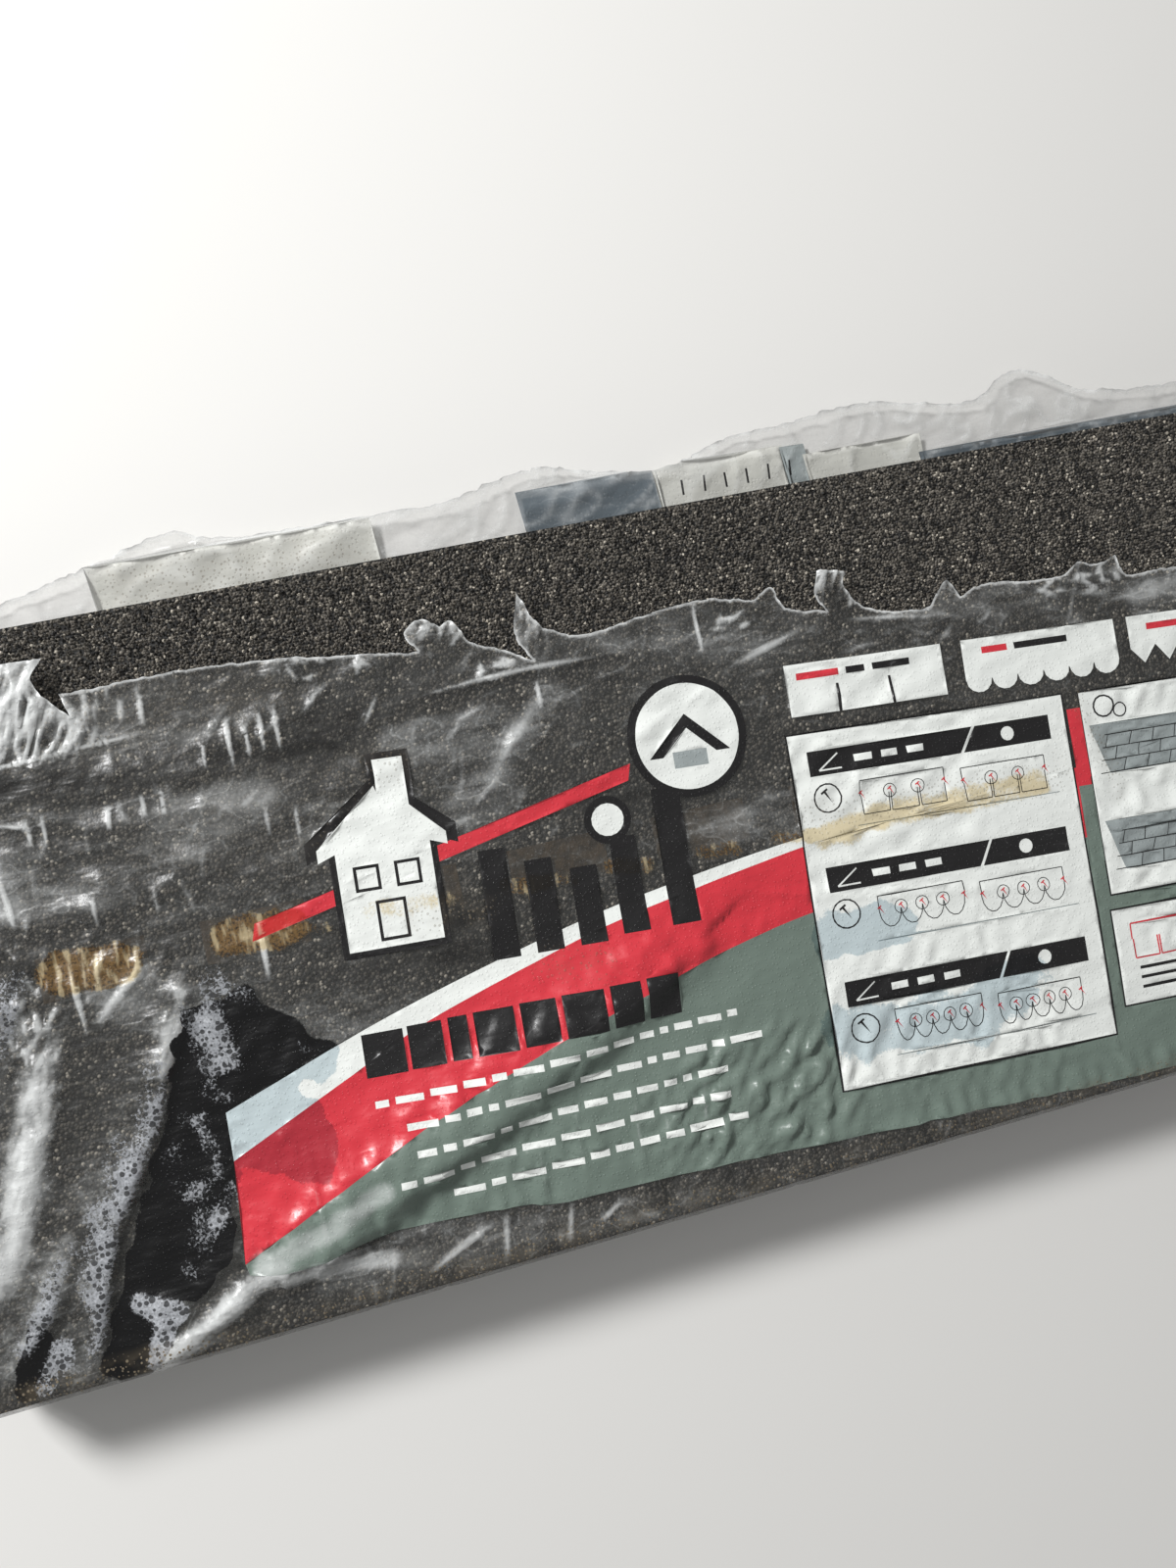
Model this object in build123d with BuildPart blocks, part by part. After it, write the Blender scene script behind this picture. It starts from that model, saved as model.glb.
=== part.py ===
from build123d import *
import os
from math import cos, sin

os.makedirs("parts", exist_ok=True)

# A bundle of bitumen roof shingles in shrink film, lying flat on the ground. Millimetres.
# X runs along the strips, Y from the near side to the far side, Z up.
# The origin is under the middle of the stack, on the ground.

# Strips: each is one sheet with tabs along one long edge, parted by slots.
strip_count = 21
strip_length = 1000.0
strip_depth = 336.0
strip_thickness = 2.55
strip_gap = 0.4
tab_count = 3
slot_width = 8.0
slot_depth = 143.0

# How far a strip may lie out of line with the stack, and the turn from one strip to the next
# that spreads the strips' places.
stagger = 1.0
stagger_turn = 2.4

# Self-seal patches: bitumen pads in a row just above the slots.
patch_length = 47.0
patch_width = 20.0
patch_height = 0.25
patch_pitch = 71.5
patch_first = 29.5
patch_line = 178.5

# Film: one skin round the stack, shrunk close to it.
film_thickness = 0.5
film_clearance = 0.3
film_fold_radius = 1.3

# End seams: at each end the film's two layers are welded together at mid height.
seam_reach = 12.0
seam_taper = 26.0

# The tear: the film's torn edge on top, as smooth runs between sharp corners. Each point is
# (distance from the middle of the bundle, bare width between the stack's far edge and the film).
# The first and last points are set from the stack's ends.
tear_from_end = 30.0
tear_overshoot = 2.0
tear_runs = [
    [(-455, 12), (-430, 17), (-391, 17)],
    [(-391, 17), (-396, 29), (-384, 45)],
    [(-384, 45), (-387, 34)],
    [(-387, 34), (-340, 33), (-297, 36), (-262, 41), (-228, 46)],
    [(-228, 46), (-233, 37), (-224, 32), (-216, 37)],
    [(-216, 37), (-210, 35), (-203, 46), (-188, 53), (-176, 61)],
    [(-176, 61), (-182, 47), (-177, 28)],
    [(-177, 28), (-170, 44), (-150, 53), (-120, 50), (-88, 48), (-62, 53)],
    [(-62, 53), (-53, 49), (-47, 60), (-27, 66)],
    [(-27, 66), (-32, 56), (-29, 46)],
    [(-29, 46), (-14, 49), (-17, 54), (-8, 66), (10, 73), (28, 74)],
    [(28, 74), (37, 63), (45, 72)],
    [(45, 72), (60, 68), (85, 71), (102, 72), (112, 67), (124, 70), (133, 67)],
    [(133, 67), (138, 78), (160, 79), (205, 82), (250, 76), (300, 84), (350, 72), (400, 60), (448, 30)],
]

# The flap: the torn-off film, still joined to the underside and lying out on the ground.
# Each point is (distance from the middle of the bundle, reach beyond the stack's far edge).
flap_from_end = 32.0
flap_edge = [
    (-450, 17), (-423, 26), (-373, 38), (-334, 47), (-311, 40), (-233, 38), (-194, 38), (-161, 46),
    (-138, 47), (-105, 39), (-71, 36), (-38, 46), (-4, 48), (46, 52), (85, 45), (113, 43), (143, 56),
    (185, 37), (243, 33), (300, 41), (356, 31), (410, 37), (450, 19),
]

# Levels and outer sizes that follow from the values above.
stack_bottom = film_thickness + film_clearance
strip_rise = strip_thickness + strip_gap
stack_top = stack_bottom + strip_count * strip_rise - strip_gap
film_slack = stagger + film_clearance + film_thickness
film_length = strip_length + 2 * film_slack
film_depth = strip_depth + 2 * film_slack
film_height = stack_top + patch_height + film_clearance + film_thickness
far_edge = strip_depth / 2
far_outside = film_depth / 2 + tear_overshoot
near_edge = -strip_depth / 2
left_end = -strip_length / 2
tab_pitch = strip_length / tab_count
patch_count = int((strip_length - patch_first - patch_length / 2) // patch_pitch) + 1


def strip_plane(number, height):
    """Plane of one strip at a height: every second strip is turned end for end."""
    turned = (strip_count - number) % 2 == 1
    place = (
        stagger * sin(stagger_turn * number),
        stagger * cos(stagger_turn * number),
        height,
    )
    return Plane(origin=place, x_dir=(-1 if turned else 1, 0, 0), z_dir=(0, 0, 1))


def make_strip(number):
    """One shingle: a sheet with its slots cut from the tab edge, and its row of seal patches."""
    underside = stack_bottom + (number - 1) * strip_rise
    topside = underside + strip_thickness
    with BuildPart() as strip:
        with BuildSketch(strip_plane(number, underside)):
            Rectangle(strip_length, strip_depth)
            slot_places = [(left_end + tab * tab_pitch, near_edge) for tab in range(tab_count + 1)]
            with Locations(*slot_places):
                Rectangle(slot_width, 2 * slot_depth, mode=Mode.SUBTRACT)
        extrude(amount=strip_thickness)
        with BuildSketch(strip_plane(number, topside)):
            patch_places = [
                (left_end + patch_first + patch * patch_pitch, near_edge + patch_line)
                for patch in range(patch_count)
            ]
            with Locations(*patch_places):
                Rectangle(patch_length, patch_width)
        extrude(amount=patch_height)
    return strip.part


for number in range(1, strip_count + 1):
    shingle = make_strip(number)
    shingle.label = f"shingle_{number:02d}"
    export_step(shingle, f"parts/{shingle.label}.step")


with BuildPart() as film_wrap:
    # The closed skin, with a small fold radius over every edge of the stack.
    with BuildSketch():
        Rectangle(film_length, film_depth)
    extrude(amount=film_height)
    fillet(edges(), radius=film_fold_radius)
    offset(amount=-film_thickness, mode=Mode.SUBTRACT)

    # The welded seam at each end: a flat fin of two layers, narrower at its outer edge.
    with BuildSketch(Plane.XY.offset(film_height / 2 - film_thickness)):
        for side in (-1, 1):
            root = side * (film_length / 2 - film_thickness / 2)
            tip = side * (film_length / 2 + seam_reach)
            half_root = film_depth / 2 - film_fold_radius
            half_tip = half_root - seam_taper
            with BuildLine():
                Polyline((root, -half_root), (tip, -half_tip), (tip, half_tip), (root, half_root), close=True)
            make_face()
    extrude(amount=2 * film_thickness)

    # The tear takes away the far wall and the far part of the top, down to the underside layer.
    with BuildSketch(Plane.XY.offset(film_thickness)):
        with BuildLine():
            tear_start = (left_end + tear_from_end, far_outside)
            tear_end = (-left_end - tear_from_end, far_outside)
            for run in tear_runs:
                points = [(x, far_edge - bare) for x, bare in run]
                if run is tear_runs[0]:
                    points.insert(0, tear_start)
                if run is tear_runs[-1]:
                    points.append(tear_end)
                if len(points) > 2:
                    Spline(*points)
                else:
                    Line(*points)
            Line(tear_end, tear_start)
        make_face()
    extrude(amount=film_height, mode=Mode.SUBTRACT)

    # The flap on the ground, one layer thick, running on from the underside.
    with BuildSketch():
        with BuildLine():
            flap_root = film_depth / 2 - 2 * film_fold_radius
            flap_start = (left_end + flap_from_end, flap_root)
            flap_end = (-left_end - flap_from_end, flap_root)
            Spline(flap_start, *[(x, far_edge + reach) for x, reach in flap_edge], flap_end)
            Line(flap_end, flap_start)
        make_face()
    extrude(amount=film_thickness)

film_wrap.part.label = "film_wrap"
export_step(film_wrap.part, "parts/film_wrap.step")
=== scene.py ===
# %% [markdown]
# A bundle of bitumen roof shingles: 21 flat strips in a skin of clear shrink film. The film is
# printed on top, torn open along the far side and old: crumpled, hazy, wet under its left end.
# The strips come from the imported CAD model, which is loaded first and never moved. The film's plain
# solid is replaced by a modelled sheet, and the bare strip gets real mineral granules.

# %% Load the frame
import math
import random

import bpy
import numpy as np
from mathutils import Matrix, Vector, kdtree, noise
from mathutils.geometry import delaunay_2d_cdt


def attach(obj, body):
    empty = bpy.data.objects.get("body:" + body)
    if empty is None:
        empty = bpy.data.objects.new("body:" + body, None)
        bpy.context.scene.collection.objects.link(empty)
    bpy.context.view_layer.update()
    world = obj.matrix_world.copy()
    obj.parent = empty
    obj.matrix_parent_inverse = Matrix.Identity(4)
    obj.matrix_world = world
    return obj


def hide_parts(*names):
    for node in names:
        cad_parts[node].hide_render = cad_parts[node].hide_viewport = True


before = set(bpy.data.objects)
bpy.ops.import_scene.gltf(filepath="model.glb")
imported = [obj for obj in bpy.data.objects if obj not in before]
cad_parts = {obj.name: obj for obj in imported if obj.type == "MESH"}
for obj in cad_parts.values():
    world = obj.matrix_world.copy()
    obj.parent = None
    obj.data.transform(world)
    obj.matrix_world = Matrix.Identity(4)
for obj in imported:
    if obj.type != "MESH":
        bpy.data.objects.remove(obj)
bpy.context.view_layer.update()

MM = 0.001
random.seed(21)
dice = np.random.default_rng(21)


# %% [markdown]
# The camera stands almost straight above the bundle, so the photograph shows its top and little
# else. A camera is a place, a turn and a focal length. The focal length is kept in pixels of the
# 1600 pixel long side, because that is how it was measured.

# %% Camera
scene = bpy.context.scene
scene.view_settings.view_transform = "Standard"

PHOTO_LONG_SIDE = 1600
FOCAL_PIXELS = 1150
CAMERA_PLACE = (-250.0, 40.4, 597.2)
CAMERA_TURN = (2.45, -8.99, -12.79)


def add_object(name, data):
    """A new object in the scene."""
    made = bpy.data.objects.new(name, data)
    scene.collection.objects.link(made)
    return made


lens = bpy.data.cameras.new("camera")
lens.lens = FOCAL_PIXELS * lens.sensor_width / PHOTO_LONG_SIDE
camera = add_object("camera", lens)
camera.location = Vector(CAMERA_PLACE) * MM
camera.rotation_euler = [math.radians(turn) for turn in CAMERA_TURN]
scene.camera = camera
print("lens:", round(lens.lens, 2), "mm")

# %% [markdown]
# Shader maths reads best as ordinary arithmetic. Wire wraps one output socket, and each operator on
# it adds a Math node. Paint makes a material, and its one method node() adds any other node: first
# the settings, then the values or links of the sockets.

# %% Shader maths
def math_node(operation, reflected=False):
    """The method behind an operator, which adds one Math node."""
    def method(self, other):
        return self.math(operation, *((other, self) if reflected else (self, other)))
    return method


class Wire:
    """One value inside a material."""

    def __init__(self, paint, socket):
        self.paint = paint
        self.socket = socket

    def math(self, operation, *values, clamp=False):
        settings = {"operation": operation, "use_clamp": clamp}
        return self.paint.node("ShaderNodeMath", settings, dict(enumerate(values)))

    __add__ = __radd__ = math_node("ADD")
    __mul__ = __rmul__ = math_node("MULTIPLY")
    __sub__ = math_node("SUBTRACT")
    __rsub__ = math_node("SUBTRACT", reflected=True)
    most = math_node("MAXIMUM")

    def away(self, other):
        """The difference without its sign."""
        return self.math("ABSOLUTE", self - other)

    def also(self, out):
        """Another output of the same node."""
        return Wire(self.paint, self.socket.node.outputs[out])

    def clamped(self):
        return self.math("ADD", self, 0.0, clamp=True)

    def between(self, low, high):
        """0 at low, 1 at high, with a soft start and end."""
        values = {"Value": self, "From Min": low, "From Max": high}
        return self.paint.node("ShaderNodeMapRange", {"interpolation_type": "SMOOTHSTEP"}, values)


# %% Materials
class Paint:
    """A material and the nodes in it. Its textures are worked out in 3D, or in 2D on a sheet, which is
    quicker.
    """

    def __init__(self, name, dimensions="3D"):
        self.dimensions = dimensions
        self.material = bpy.data.materials.new(name)
        self.material.use_nodes = True
        self.tree = self.material.node_tree
        self.tree.nodes.clear()

    def node(self, kind, settings=None, values=None, out=0):
        """A new node and one of its outputs: its settings, then its sockets' values or links."""
        made = self.tree.nodes.new(kind)
        for name, value in (settings or {}).items():
            setattr(made, name, value)
        for name, value in (values or {}).items():
            if isinstance(value, Wire):
                self.tree.links.new(value.socket, made.inputs[name])
            else:
                made.inputs[name].default_value = value
        return Wire(self, made.outputs[out]) if made.outputs else None

    def place(self, scale=(1, 1, 1), source=None, turn=0.0):
        """Where a point of the surface is, in millimetres over scale, turned by degrees round Z."""
        start = source or self.node("ShaderNodeTexCoord", out="Object")
        scale = [(1 if source else 1 / MM) * part for part in scale]
        values = {"Vector": start, "Scale": scale, "Rotation": (0, 0, math.radians(turn))}
        return self.node("ShaderNodeMapping", {"vector_type": "POINT"}, values)

    def noise(self, place, size, detail=2.0, roughness=0.5):
        """Smooth noise whose lumps are about size millimetres."""
        values = {"Vector": place, "Scale": 1 / size, "Detail": detail, "Roughness": roughness}
        return self.node("ShaderNodeTexNoise", {"noise_dimensions": self.dimensions}, values, "Fac")

    def cells(self, place, size):
        """The distance from the middle of a cell; cells are about size millimetres across."""
        settings = {"voronoi_dimensions": self.dimensions}
        return self.node("ShaderNodeTexVoronoi", settings, {"Vector": place, "Scale": 1 / size}, "Distance")

    def split(self, vector, axis):
        return self.node("ShaderNodeSeparateXYZ", None, {0: vector}, axis)

    def mix(self, factor, first, second, blend="MIX"):
        """A colour between two, or the second laid on the first in another way."""
        values = {0: factor, 6: first, 7: second}
        return self.node("ShaderNodeMix", {"data_type": "RGBA", "blend_type": blend}, values, 2)

    def attribute(self, name, out="Fac"):
        return self.node("ShaderNodeAttribute", {"attribute_name": name}, None, out)

    def bump(self, height, distance):
        """Relief of a height map; distance is the rise of height 1, in millimetres."""
        return self.node("ShaderNodeBump", None, {"Height": height, "Distance": distance * MM})

    def surface(self, base, rough, **more):
        """A solid surface's shader. More sockets are given by name, with _ for a space."""
        values = {name.replace("_", " "): value for name, value in more.items()}
        values = {"Base Color": base, "Roughness": rough, **values}
        return self.node("ShaderNodeBsdfPrincipled", None, values)

    def finish(self, shader):
        self.node("ShaderNodeOutputMaterial", None, {"Surface": shader})
        return self.material


# %% Colours
def colour(red, green, blue, alpha=1.0):
    """A colour read from a picture, 0 to 255, as the linear values that Blender mixes."""
    def linear(value):
        value = value / 255
        return value / 12.92 if value <= 0.04045 else ((value + 0.055) / 1.055) ** 2.4
    return (linear(red), linear(green), linear(blue), alpha)


print("a mid grey of 128 is", round(colour(128, 128, 128)[0], 3), "linear")

# %% [markdown]
# A plain pale floor and soft studio light. The key light is a square softbox up at the left and
# behind, where the sun stood, so the folds of the film get bright left flanks. The plain sky fills
# the shadows. Together they light a level white surface at about 1, so colours render as written.

# %% Floor and light
FLOOR_HALF_SIZE = 3.0
SKY_LEVEL = 0.32
KEY_WATTS = 62.0
KEY_SIZE = 0.40
KEY_PLACE = (-1.45, 1.2, 1.45)
KEY_AIM = (-0.15, 0.0, 0.05)

floor_mesh = bpy.data.meshes.new("floor")
corners = [(x * FLOOR_HALF_SIZE, y * FLOOR_HALF_SIZE, 0) for x, y in ((-1, -1), (1, -1), (1, 1), (-1, 1))]
floor_mesh.from_pydata(corners, [], [(0, 1, 2, 3)])
add_object("floor", floor_mesh)
floor_paint = Paint("floor_paint")
floor_mesh.materials.append(floor_paint.finish(floor_paint.surface(colour(222, 221, 218), 0.9)))

scene.world = bpy.data.worlds.new("sky")
scene.world.use_nodes = True
background = scene.world.node_tree.nodes["Background"]
background.inputs["Color"].default_value = (1.0, 1.0, 1.0, 1.0)
background.inputs["Strength"].default_value = SKY_LEVEL

key_data = bpy.data.lights.new("key_light", "AREA")
key_data.energy = KEY_WATTS
key_data.size = KEY_SIZE
key = add_object("key_light", key_data)
key.location = KEY_PLACE
key_beam = Vector(KEY_AIM) - key.location
key.rotation_euler = key_beam.to_track_quat("-Z", "Y").to_euler()
key_level = KEY_WATTS / (math.pi * key_beam.length) ** 2 * KEY_PLACE[2] / key_beam.length
print("a level white surface renders at about", round(SKY_LEVEL + key_level, 2))

# %% [markdown]
# The strips are the CAD's own nodes and only get a better material. Mineral granules cover a
# strip's top, its cut sides show bitumen with pale dust in it, and its underside is sanded. One
# material tells them apart by the direction that the surface faces. The granules are cells of a
# Voronoi texture with a random tone each, which costs no triangles where film lies over them.

# %% Strip material
STONE_SIZE = 1.6
STRIP_TOP = 62.35

STONE_GAP_SHADE = colour(10, 10, 9)
STONE_DARK = colour(16, 15, 14)
STONE_MID = colour(104, 99, 91)
STONE_PALE = colour(178, 171, 158)
BITUMEN = colour(34, 31, 30)
BITUMEN_DUST = colour(82, 79, 75)
SEAL_AMBER = colour(70, 57, 41)
SEAL_DARK = colour(46, 37, 26)


def strip_paint(name, with_seal):
    paint = Paint(name)
    place = paint.place()
    facing = paint.node("ShaderNodeNewGeometry", out="Normal")
    up = paint.split(facing, "Z")
    stones = paint.cells(place, STONE_SIZE)
    tone = paint.split(stones.also("Color"), "X")
    blotch = paint.noise(place, 30.0, 3.0)
    stone = paint.mix(tone.between(0.05, 1.0), STONE_DARK, STONE_MID)
    stone = paint.mix((tone + blotch * 0.3).between(1.05, 1.15), stone, STONE_PALE)
    # The rims of the cells go near black: bitumen between the stones, darkened further as painted shade in
    # the hollows.
    stone = paint.mix(stones.between(0.42, 0.72), stone, STONE_GAP_SHADE)
    dust = paint.noise(paint.place((0.14, 1, 1)), 1.2, 3.0)
    sides = paint.mix(dust.between(0.48, 0.8), BITUMEN, BITUMEN_DUST)
    top = up.between(0.5, 0.8)
    base = paint.mix(top, sides, stone)
    height = (1 - stones * 1.4).most(0) * top + dust * (1 - top) * 0.5
    rough = 0.62 + tone * 0.3
    if with_seal:
        level = paint.split(place, "Z")
        seal = level.between(STRIP_TOP + 0.05, STRIP_TOP + 0.15)
        smear = paint.noise(place, 4.0, 4.0)
        amber = paint.mix(smear.between(0.35, 0.62), SEAL_DARK, SEAL_AMBER)
        base = paint.mix(seal, base, amber)
        height = height * (1 - seal * 0.85) + smear * seal * 0.6
        rough = rough - seal * 0.42
    return paint.finish(paint.surface(base, rough, Normal=paint.bump(height, 1.1)))


strip_finish = strip_paint("granule_strip", False)
top_strip_finish = strip_paint("granule_strip_with_seal", True)
strips = [node for name, node in sorted(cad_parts.items()) if name.startswith("shingle_")]
for strip in strips:
    strip.data.materials.clear()
    strip.data.materials.append(top_strip_finish if strip is strips[-1] else strip_finish)

# %% [markdown]
# The film's section runs once round the stack: over the top, down the near side, back under the
# strips and out on the ground as the torn flap. Film is modelled easily as a flat sheet that is
# then laid along such a section, because its print and its torn edge are drawn in the flat. A
# point of the flat sheet is (x, t): t is the distance round the bundle and equals Y on the top.

# %% Section of the film
FILM_HALF_DEPTH = 169.5
FILM_TOP = 62.8
FILM_BOTTOM = 0.35
FAR_FOLD = 1.2
NEAR_FOLD = 2.0
FLAP_ROOM = 80.0


def rounded_path(corners, radii, steps=8):
    """Points along straight runs joined by arcs."""
    points = [corners[0]]
    for before, corner, after, radius in zip(corners, corners[1:], corners[2:], radii):
        toward_before = (before - corner).normalized() * radius
        toward_after = (after - corner).normalized() * radius
        centre = corner + toward_before + toward_after
        for step in range(steps + 1):
            turn = step / steps * math.pi / 2
            points.append(centre - toward_after * math.cos(turn) - toward_before * math.sin(turn))
    return np.array(points + [corners[-1]])


section = rounded_path(
    [Vector(p) for p in (
        (FILM_HALF_DEPTH, FILM_BOTTOM), (FILM_HALF_DEPTH, FILM_TOP), (-FILM_HALF_DEPTH, FILM_TOP),
        (-FILM_HALF_DEPTH, FILM_BOTTOM), (FILM_HALF_DEPTH + FLAP_ROOM, FILM_BOTTOM))],
    [FAR_FOLD, NEAR_FOLD, NEAR_FOLD])
section_runs = np.diff(section, axis=0)
section_length = np.concatenate([[0], np.cumsum(np.hypot(*section_runs.T))])
top_starts = int(np.argmax(section[:, 1] >= FILM_TOP - 1e-6))
section_t = section[top_starts, 0] - (section_length - section_length[top_starts])
run_facing = np.stack([-section_runs[:, 1], section_runs[:, 0]], 1) / np.hypot(*section_runs.T)[:, None]
section_facing = -np.vstack([run_facing[:1], run_facing[1:] + run_facing[:-1], run_facing[-1:]])
section_facing /= np.linalg.norm(section_facing, axis=1)[:, None]

T_FAR_FOOT = section_t[0]
T_NEAR_EDGE = -FILM_HALF_DEPTH
T_NEAR_FOOT = T_NEAR_EDGE - (FILM_TOP - FILM_BOTTOM)
T_GROUND_FAR = section_t[-1] + FLAP_ROOM


def on_section(t):
    """Y, Z and the outward direction of the skin at t."""
    order = np.argsort(section_t)
    table = np.hstack([section, section_facing])[order]
    return [np.interp(t, section_t[order], column) for column in table.T]


def ground_t(y):
    """The t of a point of the flap at Y."""
    return T_GROUND_FAR - (y - FILM_HALF_DEPTH)


print("round the bundle:", round(T_FAR_FOOT - T_GROUND_FAR, 1), "mm of film")

# %% [markdown]
# The film is torn open along the far side. The edge runs from sharp corner to sharp corner in soft
# curves, the same ones as in the CAD, and is ragged in the small. The torn-off part lies on the
# ground as a flap. Each list below is a run between two corners: (x, bare width from the far edge).

# %% Torn edge and flap edge
FAR_EDGE = 168.0
TEAR_END = 470.0
TEAR_END_BARE = -1.5
FLAP_END = 468.0
TEAR_RUNS = [
    [(-455, 12), (-430, 17), (-391, 17)], [(-396, 29), (-384, 45)], [(-387, 34)],
    [(-340, 33), (-297, 36), (-262, 41), (-228, 46)], [(-233, 37), (-224, 32), (-216, 37)],
    [(-210, 35), (-203, 46), (-188, 53), (-176, 61)], [(-182, 47), (-177, 28)],
    [(-170, 44), (-150, 53), (-120, 50), (-88, 48), (-62, 53)], [(-53, 49), (-47, 60), (-27, 66)],
    [(-32, 56), (-29, 46)], [(-14, 49), (-17, 54), (-8, 66), (10, 73), (28, 74)], [(37, 63), (45, 72)],
    [(60, 68), (85, 71), (102, 72), (112, 67), (124, 70), (133, 67)],
    [(138, 78), (160, 79), (205, 82), (250, 76), (300, 84), (350, 72), (400, 60), (448, 30),
     (TEAR_END, TEAR_END_BARE)],
]
FLAP_EDGE = [
    (-450, 17), (-423, 26), (-373, 38), (-334, 47), (-311, 40), (-233, 38), (-194, 38), (-161, 46),
    (-138, 47), (-105, 39), (-71, 36), (-38, 46), (-4, 48), (46, 52), (85, 45), (113, 43), (143, 56),
    (185, 37), (243, 33), (300, 41), (356, 31), (410, 37), (450, 19),
]
TEAR_STEP = 1.3
FLAP_STEP = 2.2
RAGGED = 0.55


def smooth_curve(points, step):
    """Points about step apart on a soft curve through the given ones."""
    points = [np.array(point) for point in points]
    ends = [2 * points[0] - points[1], *points, 2 * points[-1] - points[-2]]
    drawn = []
    for before, start, end, after in zip(ends, ends[1:], ends[2:], ends[3:]):
        count = max(2, round(float(np.linalg.norm(end - start)) / step))
        for place in np.arange(count) / count:
            slope_in, slope_out = (end - before) / 2, (after - start) / 2
            drawn.append(
                (2 * place**3 - 3 * place**2 + 1) * start + (place**3 - 2 * place**2 + place) * slope_in
                + (3 * place**2 - 2 * place**3) * end + (place**3 - place**2) * slope_out)
    return drawn


def ragged(points, amount):
    """The same points, moved a little by two sizes of noise."""
    moved = []
    for x, y in points:
        shift = noise.noise(Vector((x / 5, y / 5, 3))) + 0.6 * noise.noise(Vector((x / 1.7, y / 1.7, 9)))
        moved.append((x + amount * shift, y + amount * 1.3 * shift))
    return moved


tear_line, corner = [], [(-TEAR_END, TEAR_END_BARE)]
for run in TEAR_RUNS:
    tear_line += smooth_curve([(x, FAR_EDGE - bare) for x, bare in corner + run], TEAR_STEP)
    corner = run[-1:]
tear_line = ragged(tear_line, RAGGED)
flap_line = smooth_curve([(x, ground_t(FAR_EDGE + reach)) for x, reach in FLAP_EDGE], FLAP_STEP)
flap_line = ragged(flap_line, RAGGED * 1.6)
print("points on the tear:", len(tear_line), "and on the flap's edge:", len(flap_line))

# %% [markdown]
# Each end of the sleeve is welded flat. The skin turns down over the strips' ends to a seam at mid
# height, where the two layers leave as a narrow fin. The flat sheet simply runs on past the end of
# the stack, and the section is squeezed step by step to a line as it goes down the end face.

# %% Ends of the sleeve
END_FACE = 501.5
END_FOLD = 2.2
LEVEL_TO = END_FACE - 20
SEAM_HEIGHT = (FILM_TOP + FILM_BOTTOM) / 2
SEAM_REACH = 12.0
SEAM_TAPER = 26.0
END_RUN = FILM_TOP - SEAM_HEIGHT
SHEET_END = END_FACE + END_RUN + SEAM_REACH - 0.9 * END_FOLD

end_corners = [(LEVEL_TO, 0), (END_FACE, 0), (END_FACE, END_RUN), (END_FACE + SEAM_REACH, END_RUN)]
end_path = rounded_path([Vector(p) for p in end_corners], [END_FOLD, END_FOLD])
end_length = LEVEL_TO + np.concatenate([[0], np.cumsum(np.hypot(*np.diff(end_path, axis=0).T))])


def over_ends(x, y, z):
    """Lays the parts of the sheet past the stack's ends down the end faces and along the seam."""
    reach = np.abs(x)
    outward = np.where(reach < LEVEL_TO, reach, np.interp(reach, end_length, end_path[:, 0]))
    squeezed = np.interp(reach, end_length, end_path[:, 1]) / END_RUN
    on_fin = np.clip((outward - END_FACE) / SEAM_REACH, 0, 1)
    seam_half = FILM_HALF_DEPTH - 2 - SEAM_TAPER * on_fin
    seam_y = np.clip(y, -seam_half, seam_half)
    return np.sign(x) * outward, y + (seam_y - y) * squeezed, z + (SEAM_HEIGHT - z) * squeezed, squeezed


print("flat sheet:", round(2 * SHEET_END), "mm long")

# %% [markdown]
# The print. It is white, red, grey-green and black ink on clear film: three slanting bands, white
# panels with black bars and thin drawings of strips, and a few plain shapes. Each printed area is a
# polygon that is cut into the film's mesh, so that its edge stays sharp at any size. The whole
# print lies a little turned on the bundle, so most of it is drawn in a frame of its own, (u, v).

# %% Inks and the print's own frame
INKS = {
    "white": colour(231, 234, 230, 0.97),
    "red": colour(206, 50, 62, 0.97),
    "green": colour(108, 122, 113, 0.97),
    "black": colour(22, 21, 22, 0.98),
    "grey": colour(150, 158, 158, 0.95),
    "faded white": colour(216, 216, 208, 0.80),
    "faded blue": colour(78, 92, 102, 0.82),
}
PRINT_CORNER = (-60.5, 45.5)
PRINT_TURN = math.radians(-3.6)
printed = []


def print_on_sheet(ink, outline):
    """Keeps a printed area, its outline turned anticlockwise as the triangulation wants it."""
    outline = [tuple(map(float, point)) for point in outline]
    turning = sum(x0 * y1 - x1 * y0 for (x0, y0), (x1, y1) in zip(outline, outline[1:] + outline[:1]))
    printed.append((ink, outline if turning > 0 else outline[::-1]))


def print_area(ink, outline, corner=PRINT_CORNER):
    """A printed area that is drawn in the print's frame, from a corner of the print."""
    c, s = math.cos(PRINT_TURN), math.sin(PRINT_TURN)
    print_on_sheet(ink, [(corner[0] + u * c - v * s, corner[1] + u * s + v * c) for u, v in outline])


def print_box(ink, u, v, width, height, slant=0.0, corner=PRINT_CORNER):
    """A box from its lower left corner; slant moves its upper side along."""
    outline = [(u, v), (u + width, v), (u + width + slant, v + height), (u + slant, v + height)]
    print_area(ink, outline, corner)


def print_ring(u, v, radius, width, corner=PRINT_CORNER):
    """A black ring round a white disc."""
    for ink, size in (("black", radius), ("white", radius - width)):
        turns = np.linspace(0, 2 * math.pi, max(14, round(size * 2.2)), endpoint=False)
        print_area(ink, [(u + size * math.cos(a), v + size * math.sin(a)) for a in turns], corner)


def print_line(ink, points, width):
    """A thin line drawn through points, one short bar for each run."""
    for (u0, v0), (u1, v1) in zip(points, points[1:]):
        length = math.hypot(u1 - u0, v1 - v0)
        du, dv = -(v1 - v0) / length * width / 2, (u1 - u0) / length * width / 2
        print_area(ink, [(u0 + du, v0 + dv), (u0 - du, v0 - dv), (u1 - du, v1 - dv), (u1 + du, v1 + dv)])


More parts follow.
